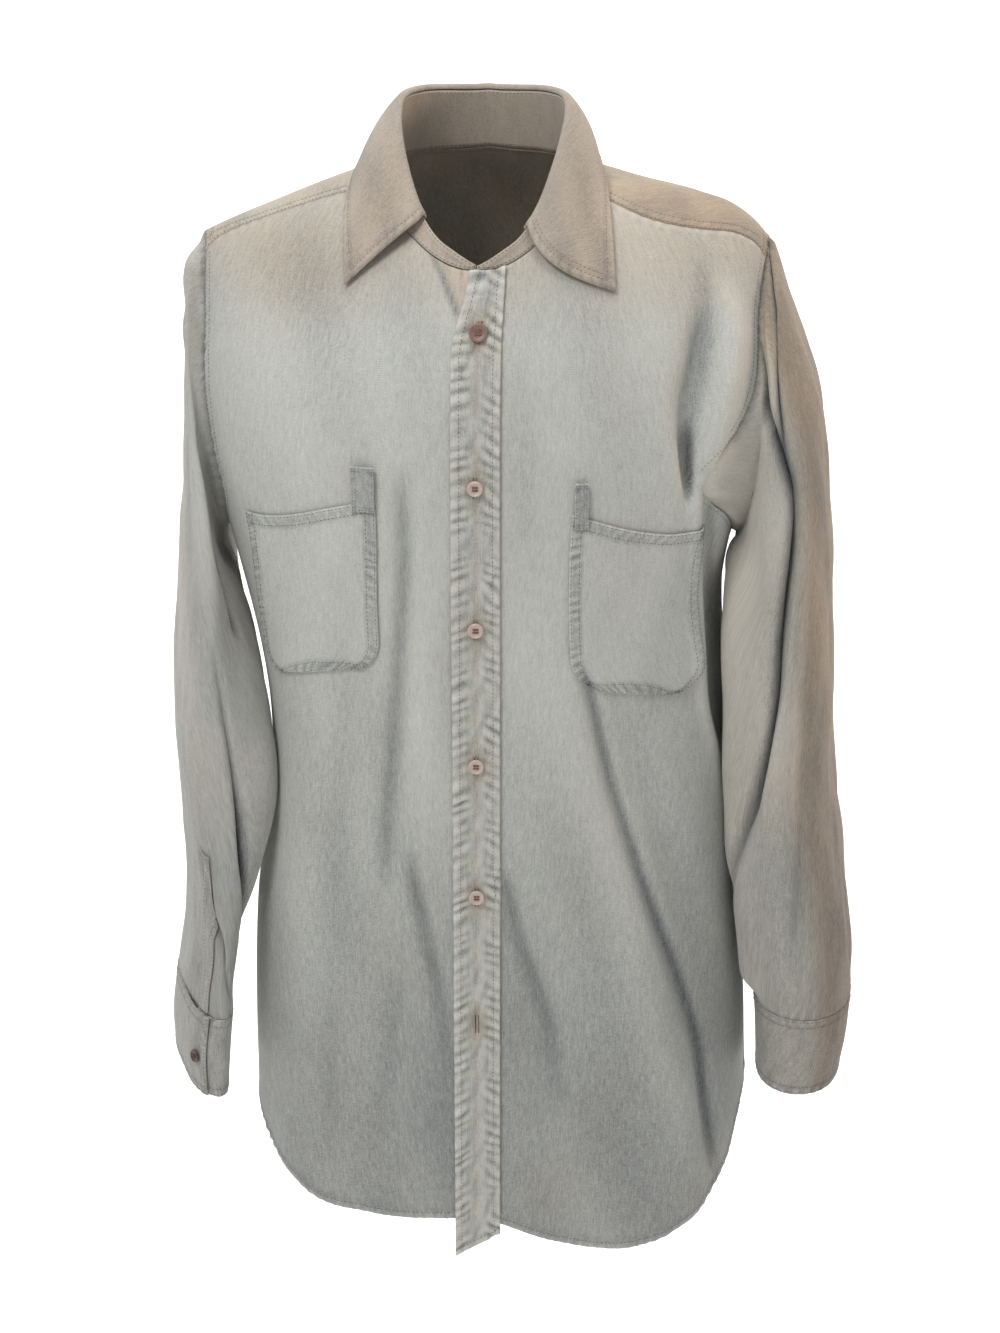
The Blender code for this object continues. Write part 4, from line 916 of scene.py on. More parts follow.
@dataclass
class Pattern:
    """Where the pieces' edges run on the body, by section angle and height."""

    form: BodyForm = field(default_factory=BodyForm)
    seam: float = 0.0004
    neck_half: float = 0.070
    neck_depth: float = 0.072
    neck_y: float = -0.019
    pinch: tuple[float, float] = (0.01, 0.06)
    neck_side: float = math.radians(82)
    edge: float = 0.0112
    open_top: float = -0.055
    open_bottom: float = -0.118
    # scoop at the underarm on the right and left: how deep, z of its middle, half its height
    scoops: tuple[tuple[float, float, float], ...] = ((0.10, -0.245, 0.028), (0.42, -0.215, 0.036))
    yoke_bow: tuple[float, float] = (0.0, -0.020)
    yoke_end: int = 2
    back_yoke_end: int = 5
    back_yoke_z: float = -0.112
    neck_cols: int = 6
    seam_cols: int = 9
    back_neck_cols: int = 10
    side_rows: int = 13
    pocket_cols: tuple[int, int] = (6, 13)
    pocket_rows: tuple[int, int] = (7, 13)
    # distance from the centre, z of the hem
    hem_right: Array = table((0.0, -0.812), (0.09, -0.815), (0.13, -0.813), (0.155, -0.801), (0.172, -0.785),
                             (0.188, -0.765))
    hem_left: Array = table((0.015, -0.816), (0.055, -0.831), (0.09, -0.8405), (0.13, -0.8440),
                            (0.155, -0.838), (0.178, -0.824), (0.198, -0.790), (0.212, -0.752))
    hem_back: Array = table((0.0, -0.850), (0.09, -0.846), (0.14, -0.830), (0.17, -0.803), (0.19, -0.775),
                            (0.212, -0.752))
    front_rows: Array = table((0, -0.058), (7, -0.222), (13, -0.352), (23, -0.812))
    # x and z of a pocket's corners: top inner, top outer, bottom inner, bottom outer
    pocket_right: Array = table((-0.0715, -0.218), (-0.170, -0.242), (-0.0690, -0.347), (-0.160, -0.374))
    pocket_left: Array = table((0.0685, -0.2265), (0.162, -0.247), (0.0690, -0.358), (0.164, -0.378))

    def of(self, pair: tuple[object, object], side: Side) -> object:
        """The right or the left one of two values."""
        return pair[0] if side is Side.RIGHT else pair[1]

    @property
    def front_cols(self) -> int:
        """Columns of a front, from its centre edge to its side."""
        return self.neck_cols + self.seam_cols

    @property
    def wide_cols(self) -> int:
        """Columns of the yoke and of the back."""
        return 2 * self.seam_cols + self.back_neck_cols

    @property
    def yoke_rows(self) -> int:
        """Rows of the yoke, from its front seams to its back seam."""
        return self.yoke_end + self.back_yoke_end

    @property
    def back_arm_rows(self) -> int:
        """Rows of the back that end at an armhole."""
        return self.form.arm_steps // 2 - self.back_yoke_end

    def armhole(self, side: Side, steps: Array) -> tuple[Array, Array, Array]:
        """The armhole: an oval by height, cut in from the side by the sine, with a scoop at the underarm.

        Args:
            side: which armhole.
            steps: places round it, in its points from the shoulder down the front and up the back.

        Returns:
            Section angles, heights and whether each is behind.
        """
        form = self.form
        turn = np.asarray(steps, float) % form.arm_steps * 2 * math.pi / form.arm_steps
        z = (form.arm_top + form.arm_bottom) / 2 + (form.arm_top - form.arm_bottom) / 2 * np.cos(turn)
        back = turn > math.pi + 1e-6
        deep, scoop_z, scoop_half = self.of(self.scoops, side)
        scoop = deep * bell(z - scoop_z, scoop_half) * ~back
        return side.value * (math.pi / 2 - (form.arm_depth + scoop) * np.abs(np.sin(turn))), z, back

    def neck_plan(self, turn: Array) -> tuple[Array, Array]:
        """x and y of the neckline at angles from the front: an oval, pinched a little towards the front."""
        pinch = np.where(np.sin(turn) < 0, *self.pinch) * np.clip(np.cos(turn), 0, 1)
        return self.neck_half * (1 - pinch) * np.sin(turn), self.neck_y - self.neck_depth * np.cos(turn)

    def neck_turn_at(self, x: Array) -> Array:
        """Angle from the front at which the neckline has this x."""
        turn = np.linspace(-self.neck_side, self.neck_side, 400)
        return np.interp(x, self.neck_plan(turn)[0], turn)

    def front_edge(self, side: Side, z: Array) -> Array:
        """x of a front's centre edge at heights z: straight."""
        return self.edge + side.value * self.seam / 2 + 0 * z

    def front_top(self, side: Side, cols: Array) -> Array:
        """The front's upper edge: along the neckline, then along the yoke seam, which bows forward.

        Args:
            side: which front.
            cols: places along it, in columns from the centre.

        Returns:
            Section angles and heights.
        """
        form, sign = self.form, side.value
        start = self.neck_turn_at(self.front_edge(side, np.array(self.open_top)))
        turn = start + (sign * self.neck_side - start) * np.clip(cols / self.neck_cols, 0, 1)
        x, y = self.neck_plan(turn)
        phi, z, _ = self.armhole(side, np.array([self.yoke_end]))
        end = form.point(phi, z, np.array([False]))[0]
        t = np.clip((cols - self.neck_cols) / self.seam_cols, 0, 1)
        x = x + (end[0] - x) * t
        y = y + (end[1] - y) * t + self.of(self.yoke_bow, side) * np.sin(math.pi * t)
        height, angle = form.height_at(x, y)
        at_end = t >= 1 - 1e-9
        return np.stack([np.where(at_end, phi[0], angle), np.where(at_end, z[0], height)], axis=-1)

    def hem_heights(self, phi: Array, hem: Array, ends: tuple[float, float]) -> Array:
        """z at the hem for section angles: the table by distance from the centre, given at its ends."""
        z = np.full(phi.shape, -0.80)
        for _ in range(4):
            z = curve(np.abs(self.form.section_x(phi, z)), hem[:, 0], hem[:, 1])
        z[phi < -math.pi / 2 + 1e-6] = ends[0]
        z[phi > math.pi / 2 - 1e-6] = ends[1]
        return z

    def side_seam(self, side: Side, down: Array) -> Array:
        """Section angles and heights of the side seam, by share of the way from the underarm to the hem."""
        hem = self.of((self.hem_right, self.hem_left), side)[-1, 1]
        return np.stack([np.full(down.shape, side.value * math.pi / 2),
                         self.form.arm_bottom + (hem - self.form.arm_bottom) * down], axis=-1)

    def edge_down(self, side: Side, rows: Array, from_step: int, way: int, arm_rows: int) -> Array:
        """A panel's outer edge: down the armhole from a point of it, then down the side seam."""
        phi, z, _ = self.armhole(side, from_step + way * np.minimum(rows, arm_rows))
        seam = self.side_seam(side, np.clip((rows - arm_rows) / self.side_rows, 0, 1))
        return np.where((rows <= arm_rows)[:, None], np.stack([phi, z], axis=-1), seam)

    def front(self, side: Side, rows: Array, cols: Array) -> Array:
        """A front: curves across from the centre edge by the pocket's two sides to the armhole and side seam.

        Args:
            side: which front.
            rows: places down it, 0 at the top and 23 at the hem.
            cols: places across it, 0 at the centre edge and 15 at the side.

        Returns:
            Section angles and heights by row and column.
        """
        form, sign = self.form, side.value
        last_row, last_col = self.front_rows[-1, 0], self.front_cols
        hem_table = self.of((self.hem_right, self.hem_left), side)
        ends = self.front_top(side, np.array([0.0, last_col]))
        centre_z = curve(rows, self.front_rows[:, 0], self.front_rows[:, 1])
        top_z, foot_z = self.front_rows[0, 1], self.front_rows[-1, 1]
        centre_z = ends[0, 1] + (centre_z - top_z) * (hem_table[0, 1] - ends[0, 1]) / (foot_z - top_z)
        centre = np.stack([form.section_angle(self.front_edge(side, centre_z), centre_z), centre_z], axis=1)
        outer = self.edge_down(side, rows, self.yoke_end, 1, form.arm_steps // 2 - self.yoke_end)

        def top_and_hem(at: Array) -> tuple[Array, Array]:
            """The upper edge and the hem at columns."""
            top = self.front_top(side, at)
            share = (np.abs(top[:, 0]) - abs(ends[0, 0])) / (abs(ends[1, 0]) - abs(ends[0, 0]))
            foot = centre[-1, 0] + (sign * math.pi / 2 - centre[-1, 0]) * share
            hem = np.stack([foot, self.hem_heights(foot, hem_table, (hem_table[-1, 1],) * 2)], axis=1)
            return top, np.where((at <= 0)[:, None], centre[-1], hem)

        pocket = self.of((self.pocket_right, self.pocket_left), side)
        corners = np.stack([form.section_angle(pocket[:, 0], pocket[:, 1]), pocket[:, 1]], axis=1)
        tops, hems = top_and_hem(np.array(self.pocket_cols, float))
        downs = [centre]
        for k in (0, 1):
            knots = np.stack([tops[k], corners[k], corners[k + 2], hems[k]])
            downs.append(curve(rows, np.array([0, *self.pocket_rows, last_row]), knots))
        downs.append(outer)
        grid = curve(cols, np.array([0, *self.pocket_cols, last_col]), np.stack(downs)).transpose(1, 0, 2)
        fixed = curve(cols, np.array([0, *self.pocket_cols, last_col]), np.stack([d[[0, -1]] for d in downs]))
        top, hem = top_and_hem(cols)
        down = (rows / last_row)[:, None, None]
        return grid + (1 - down) ** 3 * (top - fixed[:, 0]) + down ** 3 * (hem - fixed[:, 1])

    def back_seam(self, cols: Array) -> Array:
        """The back yoke seam from the right armhole to the left, as section angles and heights."""
        form = self.form
        lower = np.array([form.arm_steps - self.back_yoke_end])
        ends = [self.armhole(side, lower)[0][0] for side in (Side.RIGHT, Side.LEFT)]
        z_end = self.armhole(Side.LEFT, lower)[1][0]
        last = self.wide_cols
        x_ends = [float(form.section_x(np.array(end), np.array(z_end))) for end in ends]
        x = x_ends[0] + (x_ends[1] - x_ends[0]) * cols / last
        z = np.full(cols.shape, self.back_yoke_z)
        for _ in range(3):
            phi = form.section_angle(x, z)
            share = np.abs(phi) / np.where(phi < 0, -ends[0], ends[1])
            z = self.back_yoke_z + (z_end - self.back_yoke_z) * np.clip(share, 0, 1) ** 3
        phi = np.where(cols <= 0, ends[0], np.where(cols >= last, ends[1], phi))
        z = np.where((cols <= 0) | (cols >= last), z_end, z)
        return np.stack([phi, z], axis=-1)

    def neck_back(self, cols: Array) -> tuple[Array, Array, Array]:
        """The neckline round the back: section angles, heights and whether each is behind the ridge."""
        round_back = 2 * self.neck_side - 2 * math.pi
        x, y = self.neck_plan(-self.neck_side + round_back * cols / self.back_neck_cols)
        z, phi = self.form.height_at(x, y)
        return phi, z, y > self.form.ridge_y

    def yoke(self, rows: Array, cols: Array) -> Array:
        """The yoke: a patch between the front seams with the neck, the back seam and the two armholes.

        Args:
            rows: places from the front seams, 0, to the back seam, 7.
            cols: places from the right armhole, 0, to the left, 28.

        Returns:
            Section angles and angles over the ridge, by row and column.
        """
        form, wide, neck = self.form, self.seam_cols, self.back_neck_cols
        right = self.front_top(Side.RIGHT, np.clip(self.neck_cols + wide - cols, self.neck_cols, None))
        left = self.front_top(Side.LEFT, self.neck_cols + np.clip(cols - wide - neck, 0, None))
        phi, z, behind = self.neck_back(np.clip(cols - wide, 0, neck))
        in_neck = ((cols >= wide) & (cols <= wide + neck))
        front = np.where((cols < wide)[:, None], right, left)
        front = np.where(in_neck[:, None], np.stack([phi, z], axis=-1), front)
        front_psi = form.over_angle(front[:, 0], front[:, 1], behind & in_neck)
        seam = self.back_seam(cols)
        back_psi = form.over_angle(seam[:, 0], seam[:, 1], np.ones(len(seam), bool))
        ends = []
        for side in (Side.RIGHT, Side.LEFT):
            phi, z, back = self.armhole(side, self.yoke_end - rows)
            ends.append(np.stack([phi, form.over_angle(phi, z, back)], axis=1))
        return coons(np.stack([front[:, 0], front_psi], axis=1), np.stack([seam[:, 0], back_psi], axis=1),
                     *ends, rows / self.yoke_rows, cols / self.wide_cols)

    def back(self, rows: Array, cols: Array) -> Array:
        """The back: a patch between the back seam, the hem and the two sides, 20 rows and 28 columns long."""
        form = self.form
        top = self.back_seam(cols)
        edges = [self.edge_down(side, rows, form.arm_steps - self.back_yoke_end, -1, self.back_arm_rows)
                 for side in (Side.RIGHT, Side.LEFT)]
        whole = self.back_seam(np.array([0.0, self.wide_cols]))
        foot = top[:, 0] * (math.pi / 2) / np.where(top[:, 0] < 0, -whole[0, 0], whole[1, 0])
        hem = self.hem_heights(foot, self.hem_back, (edges[0][-1, 1], edges[1][-1, 1]))
        return coons(top, np.stack([foot, hem], axis=1), *edges, rows / (self.back_arm_rows + self.side_rows),
                     cols / self.wide_cols)


# --- the shirt's sub-assemblies ----------------------------------------------------------------------------
@dataclass
class Workshop:
    """What every sub-assembly is made with."""

    pattern: Pattern
    finishes: Finishes
    thread: Thread
    cloth: float = 0.0013
    double: float = 0.0017
    lift: float = 0.0008
    edge_row: float = 0.0016
    second_row: float = 0.0078
    # depth of the hems and the row of stitches in them
    hem: float = 0.0062
    hem_row: float = 0.0056
    # how strongly the body's creases pale their ridges by wear and darken their troughs with painted shade
    wear: float = 0.26
    button_radius: float = 0.0058
    button_height: float = 0.0026
    button_gap: float = 0.0006

    @property
    def doubled_cloth(self) -> float:
        """Thickness of a doubled piece's cloth."""
        return self.double * 0.85

    @property
    def on_cloth(self) -> float:
        """Height of thread on a single piece, from its middle."""
        return self.cloth / 2

    @property
    def on_double(self) -> float:
        """Height of thread on a doubled piece, from its middle."""
        return self.double * 0.42

    @property
    def seam_rows(self) -> tuple[float, float]:
        """Distances of a seam's two rows of stitches from its edge."""
        return self.edge_row, self.second_row

    def sew(self, cloth: Cloth, node: str, lift: float, finish: bpy.types.Material,
            rows: list[tuple[Edge, float, float]], pitch: float | None = None) -> bpy.types.Object:
        """Rows of stitches along a cloth's edges, as one object.

        Args:
            cloth: what is sewn.
            node: the solid that it stands for.
            lift: height of the thread over the cloth's middle.
            finish: the thread's finish.
            rows: for each row its edge, its distance from it and the length left off at its ends.
            pitch: distance from stitch to stitch, where it isn't the thread's own.

        Returns:
            The stitches.
        """
        sewn = Stitching(self.thread)
        for edge, inset, skip in rows:
            sewn.sew(cloth.beside_edge(edge, inset, skip), lift, pitch)
        return sewn.finish(f"{node}_stitching", node, finish)

    def puckered(self, cloth: Cloth, edge: Edge, seed: int, height: float = 0.00035) -> None:
        """A seam's soft puckers along an edge of a panel."""
        cloth.rope(edge, 0.008, 0.0095, height, seed, 0.4, 0.07)


@dataclass
class Fronts:
    """The two fronts, with their pockets and the short strips at the pockets' inner corners."""

    shop: Workshop
    # points down to the pockets' middle and below it, and across to the pocket and over it
    points_down: tuple[int, int] = (100, 151)
    points_across: tuple[int, int] = (52, 72)
    split_row: int = 10
    split_col: int = 9
    # a pocket: its height, half its width, the radius of its lower corners, its turned edge
    pocket_height: float = 0.131
    pocket_half: float = 0.049
    corner: float = 0.017
    pocket_turn: float = 0.0085
    pocket_across: int = 56
    pocket_fine: int = 140
    # a strip's x at its inner edge and at its outer one, z of its top and of its foot
    strip_right: tuple[float, float, float, float] = (-0.0715, -0.0880, -0.1935, -0.2265)
    strip_left: tuple[float, float, float, float] = (0.0700, 0.0795, -0.2030, -0.2370)
    # drop and x of the seam inside the right front's edge, seen above the first button, painted as a dark
    # line of shade at the facing's edge
    stand_seam: Array = table((0.030, -0.0405), (0.045, -0.0346), (0.0592, -0.0264), (0.0749, -0.0190),
                              (0.0892, -0.0124), (0.0950, 0.02), (0.0960, 0.5))

    def build(self) -> None:
        """Make and dress both sides."""
        for side in Side:
            self.front(side)
            self.pocket(side)
            self.strip(side)

    def front(self, side: Side) -> None:
        """One front, from the centre edge to the side seam."""
        shop, pattern, node = self.shop, self.shop.pattern, f"front_{side.word}"
        rows = in_two(self.split_row, pattern.front_rows[-1, 0], self.points_down)
        cols = in_two(self.split_col, pattern.front_cols, self.points_across)
        grid = pattern.front(side, rows, cols)
        points, normals = pattern.form.on(grid[..., 0], grid[..., 1], False)
        cloth = Cloth(points, normals).draw_in(pattern.seam / 2, Edge.TOP, Edge.FIRST, Edge.LAST)
        x, z = cloth.points[..., 0], cloth.points[..., 2]
        # painted light on the chest, and painted shade growing towards the hem, as light falls from above
        lit_chest = ease((z + 0.42) / 0.20) * ease((-0.07 - z) / 0.05)
        cloth.fade += 0.045 * ripple(x, z, 0.10, 0.30, 31) + 0.06 * lit_chest
        cloth.fade -= 0.22 * ease((-0.36 - z) / 0.36)
        # crease ridges paled by wear, crease troughs darkened as painted shade
        cloth.fade += shop.wear * pattern.form.wear(cloth.points, False)
        cloth.warm += 0.03 * ripple(x, z, 0.16, 0.22, 33) + 0.40 * ease((z + 0.110) / 0.065)
        cloth.turn_in(Edge.FOOT, shop.hem, 0.0004)
        cloth.rope(Edge.FOOT, shop.hem, 0.0085, 0.0006, 41 + side.value, 0.9, 0.10)
        shop.puckered(cloth, Edge.LAST, 45 + side.value)
        shop.puckered(cloth, Edge.TOP, 49 + side.value, 0.0002)
        if side is Side.RIGHT:
            cloth.mark((-0.150, -0.10, -0.065), (0.070, 0.10, 0.040), -0.12, 0.25)
            beyond = x - np.interp(-z, self.stand_seam[:, 0], self.stand_seam[:, 1])
            # a dark line of painted shade along the seam where the facing's edge lies; beyond it the facing
            # is warmer
            cloth.fade -= 0.34 * bell(np.abs(beyond), 0.0028) * ease((z + 0.096) / 0.010)
            cloth.warm += 0.30 * ease(beyond / 0.003)
        else:
            cloth.mark((0.018, -0.14, -0.20), (0.004, 0.05, 0.12), 0.02, 0.25)
            cloth.mark((0.052, -0.14, -0.785), (0.02, 0.05, 0.02), 0.0, 0.28)
        cloth.face_again()
        cloth.lay(f"{node}_cloth", node, shop.cloth, shop.finishes.body)
        rows = [(Edge.FOOT, shop.hem_row, 0.0)] + [(Edge.LAST, inset, 0.003) for inset in shop.seam_rows]
        threads = shop.sew(cloth, node, shop.on_cloth, shop.finishes.thread, rows)
        cloth.declare("hung", ("yoke_cloth",), (threads,))

    def pocket(self, side: Side) -> None:
        """A patch pocket in the front's own rows and columns, with round lower corners and a turned top."""
        shop, pattern, node = self.shop, self.shop.pattern, f"pocket_{side.word}"
        (c0, c1), (r0, r1) = pattern.pocket_cols, pattern.pocket_rows
        height, fine, width = self.pocket_height, self.pocket_fine, self.pocket_turn
        turn = np.linspace(math.pi / 2, 0, 16)
        foot = self.corner * (1 - np.cos(turn))
        up = np.concatenate([np.linspace(height, self.corner, 60)[:-1], foot])
        short = np.clip(self.corner - up, 0, self.corner)
        share = 1 - (self.corner - np.sqrt(self.corner ** 2 - short ** 2)) / self.pocket_half
        rows = r0 + (r1 - r0) * (1 - up / height)
        across = np.linspace(-1, 1, self.pocket_across)
        all_rows = np.concatenate([[0.0], rows, pattern.front_rows[-1:, 0]])
        phi_z = pattern.front(side, all_rows, np.linspace(c0, c1, fine + 1))[1:-1]
        at = (across[None, :] * share[:, None] + 1) / 2 * fine
        low = np.clip(at.astype(int), 0, fine - 1)
        t = (at - low)[..., None]
        row = np.arange(len(rows))[:, None]
        grid = phi_z[row, low] * (1 - t) + phi_z[row, low + 1] * t
        points, normals = pattern.form.on(grid[..., 0], grid[..., 1], False, shop.cloth + shop.lift)
        cloth = Cloth(points, normals)
        sewn_edges = (Edge.FIRST, Edge.LAST, Edge.FOOT)
        cloth.turn_in(Edge.TOP, width, 0.0003)
        for edge in sewn_edges:
            cloth.turn_in(edge, width, 0.00035)
            cloth.rope(edge, width, 0.0070, 0.00045, 61 + side.value + len(edge.value), 0.6, 0.17)
            # painted shade on the puckered band between the two rows of stitches
            cloth.fade -= 0.20 * bell(cloth.inset(edge) - 0.0045, 0.0040)
        cloth.rope(Edge.TOP, width, 0.0075, 0.0003, 71 + side.value, 0.5, 0.12)
        # painted shade on the puckered band between the two rows of stitches
        cloth.fade -= 0.18 * bell(cloth.inset(Edge.TOP) - 0.0045, 0.0040)
        x, z = cloth.points[..., 0], cloth.points[..., 2]
        cloth.fade += 0.05 + 0.04 * ripple(x, z, 0.05, 0.14, 73 + side.value)
        # crease ridges paled by wear, crease troughs darkened as painted shade
        cloth.fade += shop.wear * pattern.form.wear(cloth.points, False)
        cloth.face_again()
        cloth.lay(f"{node}_cloth", node, shop.cloth, shop.finishes.body)
        threads = shop.sew(cloth, node, shop.on_cloth, shop.finishes.thread,
                           [(edge, inset, 0.0) for inset in shop.seam_rows for edge in sewn_edges]
                           + [(Edge.TOP, inset, 0.0) for inset in shop.seam_rows])
        cloth.declare("laid", (f"front_{side.word}_cloth",), (threads,))

    def strip(self, side: Side) -> None:
        """The short upright strip over a pocket's inner top corner."""
        shop, node = self.shop, f"pocket_strip_{side.word}"
        inner, outer, top, foot = shop.pattern.of((self.strip_right, self.strip_left), side)
        x, z = np.meshgrid(np.linspace(inner, outer, 16), np.linspace(top, foot, 34))
        lift = 2 * (shop.cloth + shop.lift)
        points, normals = shop.pattern.form.on(shop.pattern.form.section_angle(x, z), z, False, lift)
        cloth = Cloth(points, normals)
        for edge in Edge:
            cloth.turn_in(edge, 0.0022, 0.0002)
        for edge, seed in ((Edge.FIRST, 83), (Edge.LAST, 85)):
            cloth.rope(edge, 0.003, 0.007, 0.0003, seed, 0.4, 0.12)
        cloth.fade -= 0.16
        cloth.warm -= 0.08
        cloth.face_again()
        cloth.lay(f"{node}_cloth", node, shop.cloth, shop.finishes.doubled)
        threads = shop.sew(cloth, node, shop.on_cloth, shop.finishes.thread,
                           [(edge, 0.0014, 0.0) for edge in Edge], 0.0024)
        cloth.declare("laid", (f"pocket_{side.word}_cloth",), (threads,))


@dataclass
class Placket:
    """The buttonhole placket over the fronts' edges, with its buttonholes and buttons."""

    shop: Workshop
    half: float = 0.0175
    hem_right: float = -0.846
    hem_left: float = -0.824
    rows: int = 420
    cols: int = 30
    row_inset: float = 0.0058
    first_button: float = -0.099
    button_pitch: float = 0.1075
    buttons: int = 5
    buttonholes: int = 6
    top_button: float = 1.15
    hole_half: float = 0.0078
    # how far the right and the left edge lean over above the first button
    lean: float = 0.0125
    left_share: float = 0.15

    def edges(self, z: Array) -> tuple[Array, Array]:
        """x of the right and left edges at heights z: they lean to the left above the first button."""
        pattern = self.shop.pattern
        parted = ease((z - pattern.open_bottom) / (pattern.open_top - pattern.open_bottom)) * self.lean
        return -self.half + parted, self.half + parted * self.left_share

    def build(self) -> None:
        """Make the placket, its buttonholes and its buttons."""
        shop, pattern = self.shop, self.shop.pattern
        form = pattern.form
        across = np.linspace(0, 1, self.cols)[None, :]
        right, left = self.edges(np.array(pattern.open_top))
        turn = pattern.neck_turn_at(right + (left - right) * across)
        top = form.height_at(*pattern.neck_plan(turn))[0] - pattern.seam
        foot = self.hem_right + (self.hem_left - self.hem_right) * across
        z = top + (foot - top) * np.linspace(0, 1, self.rows)[:, None]
        right, left = self.edges(z)
        points, normals = form.on(form.section_angle(right + (left - right) * across, z), z, False, self.lift)
        cloth = Cloth(points, normals)
        for edge, slant in ((Edge.FIRST, 0.15), (Edge.LAST, 0.85)):
            cloth.turn_in(edge, self.row_inset + 0.0006, 0.0003)
            cloth.rope(edge, 0.0125, 0.0092, 0.00085, 101 + len(edge.value), slant, 0.26)
            cloth.fade -= 0.10 * bell(cloth.inset(edge) - 0.0115, 0.0022)
            cloth.warm += 0.10 * bell(cloth.inset(edge) - 0.004, 0.004)
        cloth.turn_in(Edge.FOOT, 0.006, 0.0003)
        middle = cloth.inset(Edge.FIRST) - self.half
        along = cloth.beside(Edge.FIRST)
        cloth.push(0.00035 * ripple(middle, along, 0.018, 0.030, 107))
        cloth.fade += 0.08 * ripple(middle, along, 0.012, 0.022, 109) + 0.03
        cloth.warm += 0.30 * bell(middle, 0.0035) * (0.6 + 0.4 * ripple(middle * 0, along, 1.0, 0.03, 111))
        cloth.fade -= 0.10 * bell(middle, 0.003)
        for k in range(self.buttonholes):
            place = self.seat(self.button_z(k), self.lift)[0]
            cloth.mark(place, (0.0075, 0.03, 0.013), -0.13, 0.55)
        cloth.face_again()
        cloth.lay("front_placket_cloth", "front_placket", shop.doubled_cloth, shop.finishes.doubled)
        rows = [(edge, self.row_inset, 0.002) for edge in (Edge.FIRST, Edge.LAST)]
        threads = shop.sew(cloth, "front_placket", shop.on_double, shop.finishes.thread,
                           rows + [(Edge.FOOT, 0.0055, 0.0)])
        cloth.declare("hung", ("front_right_cloth", "front_left_cloth"), (threads, self.buttonhole_edges()))
        self.fasten()

    @property
    def lift(self) -> float:
        """Height of the placket's middle above the fronts' middle."""
        return self.shop.cloth / 2 + self.shop.lift + self.shop.double / 2

    def button_z(self, number: int) -> float:
        """Height of a button or buttonhole, counted from nought at the top."""
        return self.first_button - self.button_pitch * number

    def seat(self, z: float, lift: float, x_shift: float = 0.0) -> tuple[Array, Array]:
        """A point on the placket's centre line at height z, and its normal."""
        form = self.shop.pattern.form
        right, left = self.edges(np.array(z))
        x = (right + left) / 2 + x_shift
        return form.on(form.section_angle(x, np.array(z)), np.array(z), np.array(False), lift)

    def buttonhole_edges(self) -> bpy.types.Object:
        """Buttonholes as two close upright rows of satin stitches with bars at their ends, brown inside."""
        sewn = Stitching(replace(self.shop.thread, pitch=0.0009, share=0.98, radius=0.00042))
        for k in range(self.buttonholes):
            middle = self.button_z(k)
            for shift in (-0.0012, 0.0012):
                z = np.linspace(middle + self.hole_half, middle - self.hole_half, 24)
                places = [self.seat(float(h), self.lift + self.shop.on_double, shift) for h in z]
                points, normals = (np.stack([p[i] for p in places]) for i in (0, 1))
                sewn.sew((points, normals), 0.0)
        return sewn.finish("front_placket_buttonholes", "front_placket", self.shop.finishes.dark_thread)

    def fasten(self) -> None:
        """Make the buttons down the front: the first is brown and larger."""
        shop = self.shop
        for k in range(self.buttons):
            point, facing = self.seat(self.button_z(k), shop.cloth / 2 + shop.lift + shop.double)
            button = Button(shop.button_radius * (self.top_button if k == 0 else 1.0), shop.button_height)
            button.make(f"button_{k + 1}", point, facing, shop.button_gap,
                        shop.finishes.brown if k == 0 else shop.finishes.cream, shop.finishes.button_thread)


